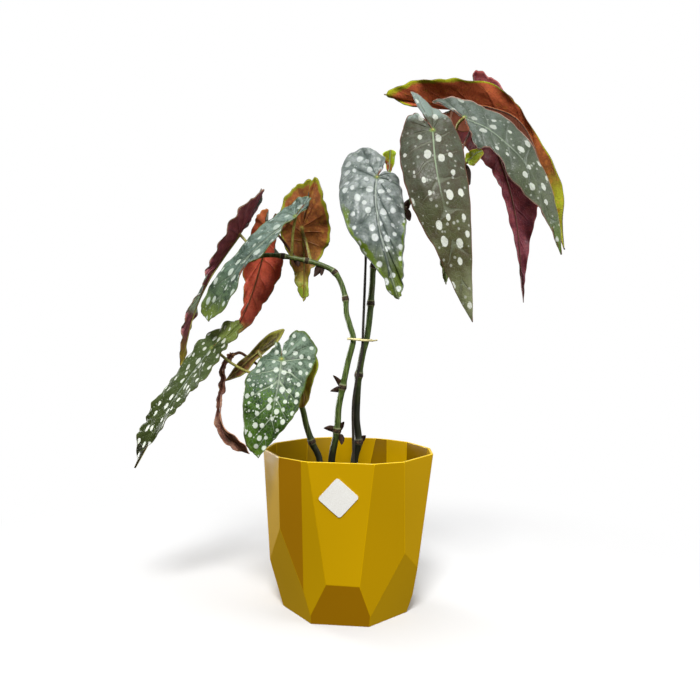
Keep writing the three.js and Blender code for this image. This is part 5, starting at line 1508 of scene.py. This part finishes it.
class BEGONIA_OT_leaves(bpy.types.Operator):
    """Leaves: quilted blades of two skins, each with its stalk and midrib"""

    bl_idname = "begonia.leaves"
    bl_label = "Leaves"

    def execute(self, context):
        setting = context.scene.begonia_leaf
        stalks = {slot: stalk_paint(*tones) for slot, tones in STALK_TONES.items()}
        for name, leaf in LEAVES.items():
            short, slot, spine = name.replace("leaf_", ""), SLOTS[name], spine_of(leaf)
            upper, lower = LOOKS[name]
            skins = (LeafSkin(name + "_upper", upper, under=False).material(),
                     LeafSkin(name + "_under", lower, under=True).material())
            points, faces, values = blade_surface(name, leaf, spine, setting)
            blade = new_object("blade_" + short, points, faces, skins, (name,), values)
            wall = blade.modifiers.new("blade thickness", "SOLIDIFY")
            wall.thickness, wall.offset, wall.material_offset = setting.thickness, 0.0, 1
            points, faces = stalk_surface(leaf, spine)
            new_object("stalk_" + short, points, faces, (stalks[STALK_LOOKS.get(name, slot)],))
        return {"FINISHED"}


# Lamps, in metres: place, what it points at, and width
LAMPS = {
    "key": ((-0.10, -1.22, 1.45), (0.0, 0.0, 0.2), 0.5),
    "side": ((1.25, -0.55, 0.70), (0.0, 0.0, 0.2), 0.9),
    "top": ((-0.10, 0.2, 1.7), (0.0, 0.0, 0.2), 0.8),
    "edge": ((-1.0, 0.80, 0.16), (0.0, 0.0, 0.12), 0.6),
}

# The camera that was fitted to the photo: place in metres, focal length as a share of the picture's width,
# and in radians how far it looks down and how far it leans
CAMERA_PLACE = (-0.000435, -0.6271, 0.230)
CAMERA_FOCUS = 763.3 / 700
CAMERA_DOWN = 0.0306
CAMERA_LEAN = 0.0182


class BEGONIA_OT_stage(bpy.types.Operator):
    """Floor, soft lights and camera"""

    bl_idname = "begonia.stage"
    bl_label = "Stage"

    def execute(self, context):
        scene, setting = context.scene, context.scene.begonia_stage
        floor = self.floor(6.0)
        scene.collection.objects.link(floor)
        scene.world = white_room(setting.sky)
        for name, lamp in LAMPS.items():
            scene.collection.objects.link(self.softbox(name, *lamp, getattr(setting, name + "_power")))
        scene.camera = self.camera()
        scene.collection.objects.link(scene.camera)
        scene.view_settings.view_transform = "Standard"
        return {"FINISHED"}

    @staticmethod
    def floor(size):
        """A square on the ground that throws neither light nor a mirror image onto the pieces."""
        mesh = bpy.data.meshes.new("floor")
        corners = [(-size, -size, 0), (size, -size, 0), (size, size, 0), (-size, size, 0)]
        mesh.from_pydata(corners, [], [(0, 1, 2, 3)])
        mesh.materials.append(floor_paint())
        floor = bpy.data.objects.new("floor", mesh)
        floor.visible_diffuse, floor.visible_glossy = False, False
        return floor

    @staticmethod
    def softbox(name, place, target, size, power):
        """A round soft lamp, its -Z axis towards the target and its X axis level."""
        light = bpy.data.lights.new(name, "AREA")
        light.shape, light.size, light.energy = "DISK", size, power
        back = unit(np.array(place) - np.array(target))
        level = unit(np.cross((0.0, 0.0, 1.0), back))
        turn = Matrix(np.stack([level, np.cross(back, level), back], 1)).to_4x4()
        lamp = bpy.data.objects.new(name, light)
        lamp.matrix_world = Matrix.Translation(place) @ turn
        return lamp

    @staticmethod
    def camera():
        """The photo's camera. It looks to the back, a little down, and leans a little."""
        lens = bpy.data.cameras.new("camera")
        lens.sensor_width, lens.lens = 36.0, 36.0 * CAMERA_FOCUS
        lens.clip_start, lens.clip_end = 0.05, 50
        camera = bpy.data.objects.new("camera", lens)
        down = Matrix.Rotation(np.pi / 2 - CAMERA_DOWN, 4, "X")
        camera.matrix_world = Matrix.Translation(CAMERA_PLACE) @ down @ Matrix.Rotation(CAMERA_LEAN, 4, "Z")
        return camera


class BEGONIA_PT_panel(bpy.types.Panel):
    """Lists the pieces and their settings"""

    bl_idname = "BEGONIA_PT_panel"
    bl_label = "Potted begonia"
    bl_space_type = "VIEW_3D"
    bl_region_type = "UI"
    bl_category = "Begonia"

    def draw(self, context):
        for operator in OPERATORS:
            self.layout.operator(operator.bl_idname)
        for key, group in SETTINGS.items():
            box = self.layout.box()
            for prop in group.__annotations__:
                box.prop(getattr(context.scene, key), prop)


SETTINGS = {
    "begonia_pot": BegoniaPotSettings,
    "begonia_leaf": BegoniaLeafSettings,
    "begonia_stem": BegoniaStemSettings,
    "begonia_soil": BegoniaSoilSettings,
    "begonia_stage": BegoniaStageSettings,
}
OPERATORS = (
    BEGONIA_OT_pot, BEGONIA_OT_label, BEGONIA_OT_grower_pot, BEGONIA_OT_soil, BEGONIA_OT_stems,
    BEGONIA_OT_bracts, BEGONIA_OT_stake, BEGONIA_OT_tie, BEGONIA_OT_leaves, BEGONIA_OT_stage,
)


def register():
    for item in (*SETTINGS.values(), *OPERATORS, BEGONIA_PT_panel):
        bpy.utils.register_class(item)
    for key, group in SETTINGS.items():
        setattr(bpy.types.Scene, key, bpy.props.PointerProperty(type=group))


def unregister():
    for key in SETTINGS:
        delattr(bpy.types.Scene, key)
    for item in reversed((*SETTINGS.values(), *OPERATORS, BEGONIA_PT_panel)):
        bpy.utils.unregister_class(item)


def main():
    """Builds every piece and the stage in order."""
    register()
    bpy.ops.begonia.pot()
    bpy.ops.begonia.label()
    bpy.ops.begonia.grower_pot()
    bpy.ops.begonia.soil()
    bpy.ops.begonia.stems()
    bpy.ops.begonia.bracts()
    bpy.ops.begonia.stake()
    bpy.ops.begonia.tie()
    bpy.ops.begonia.leaves()
    bpy.ops.begonia.stage()


if __name__ == "__main__":
    main()
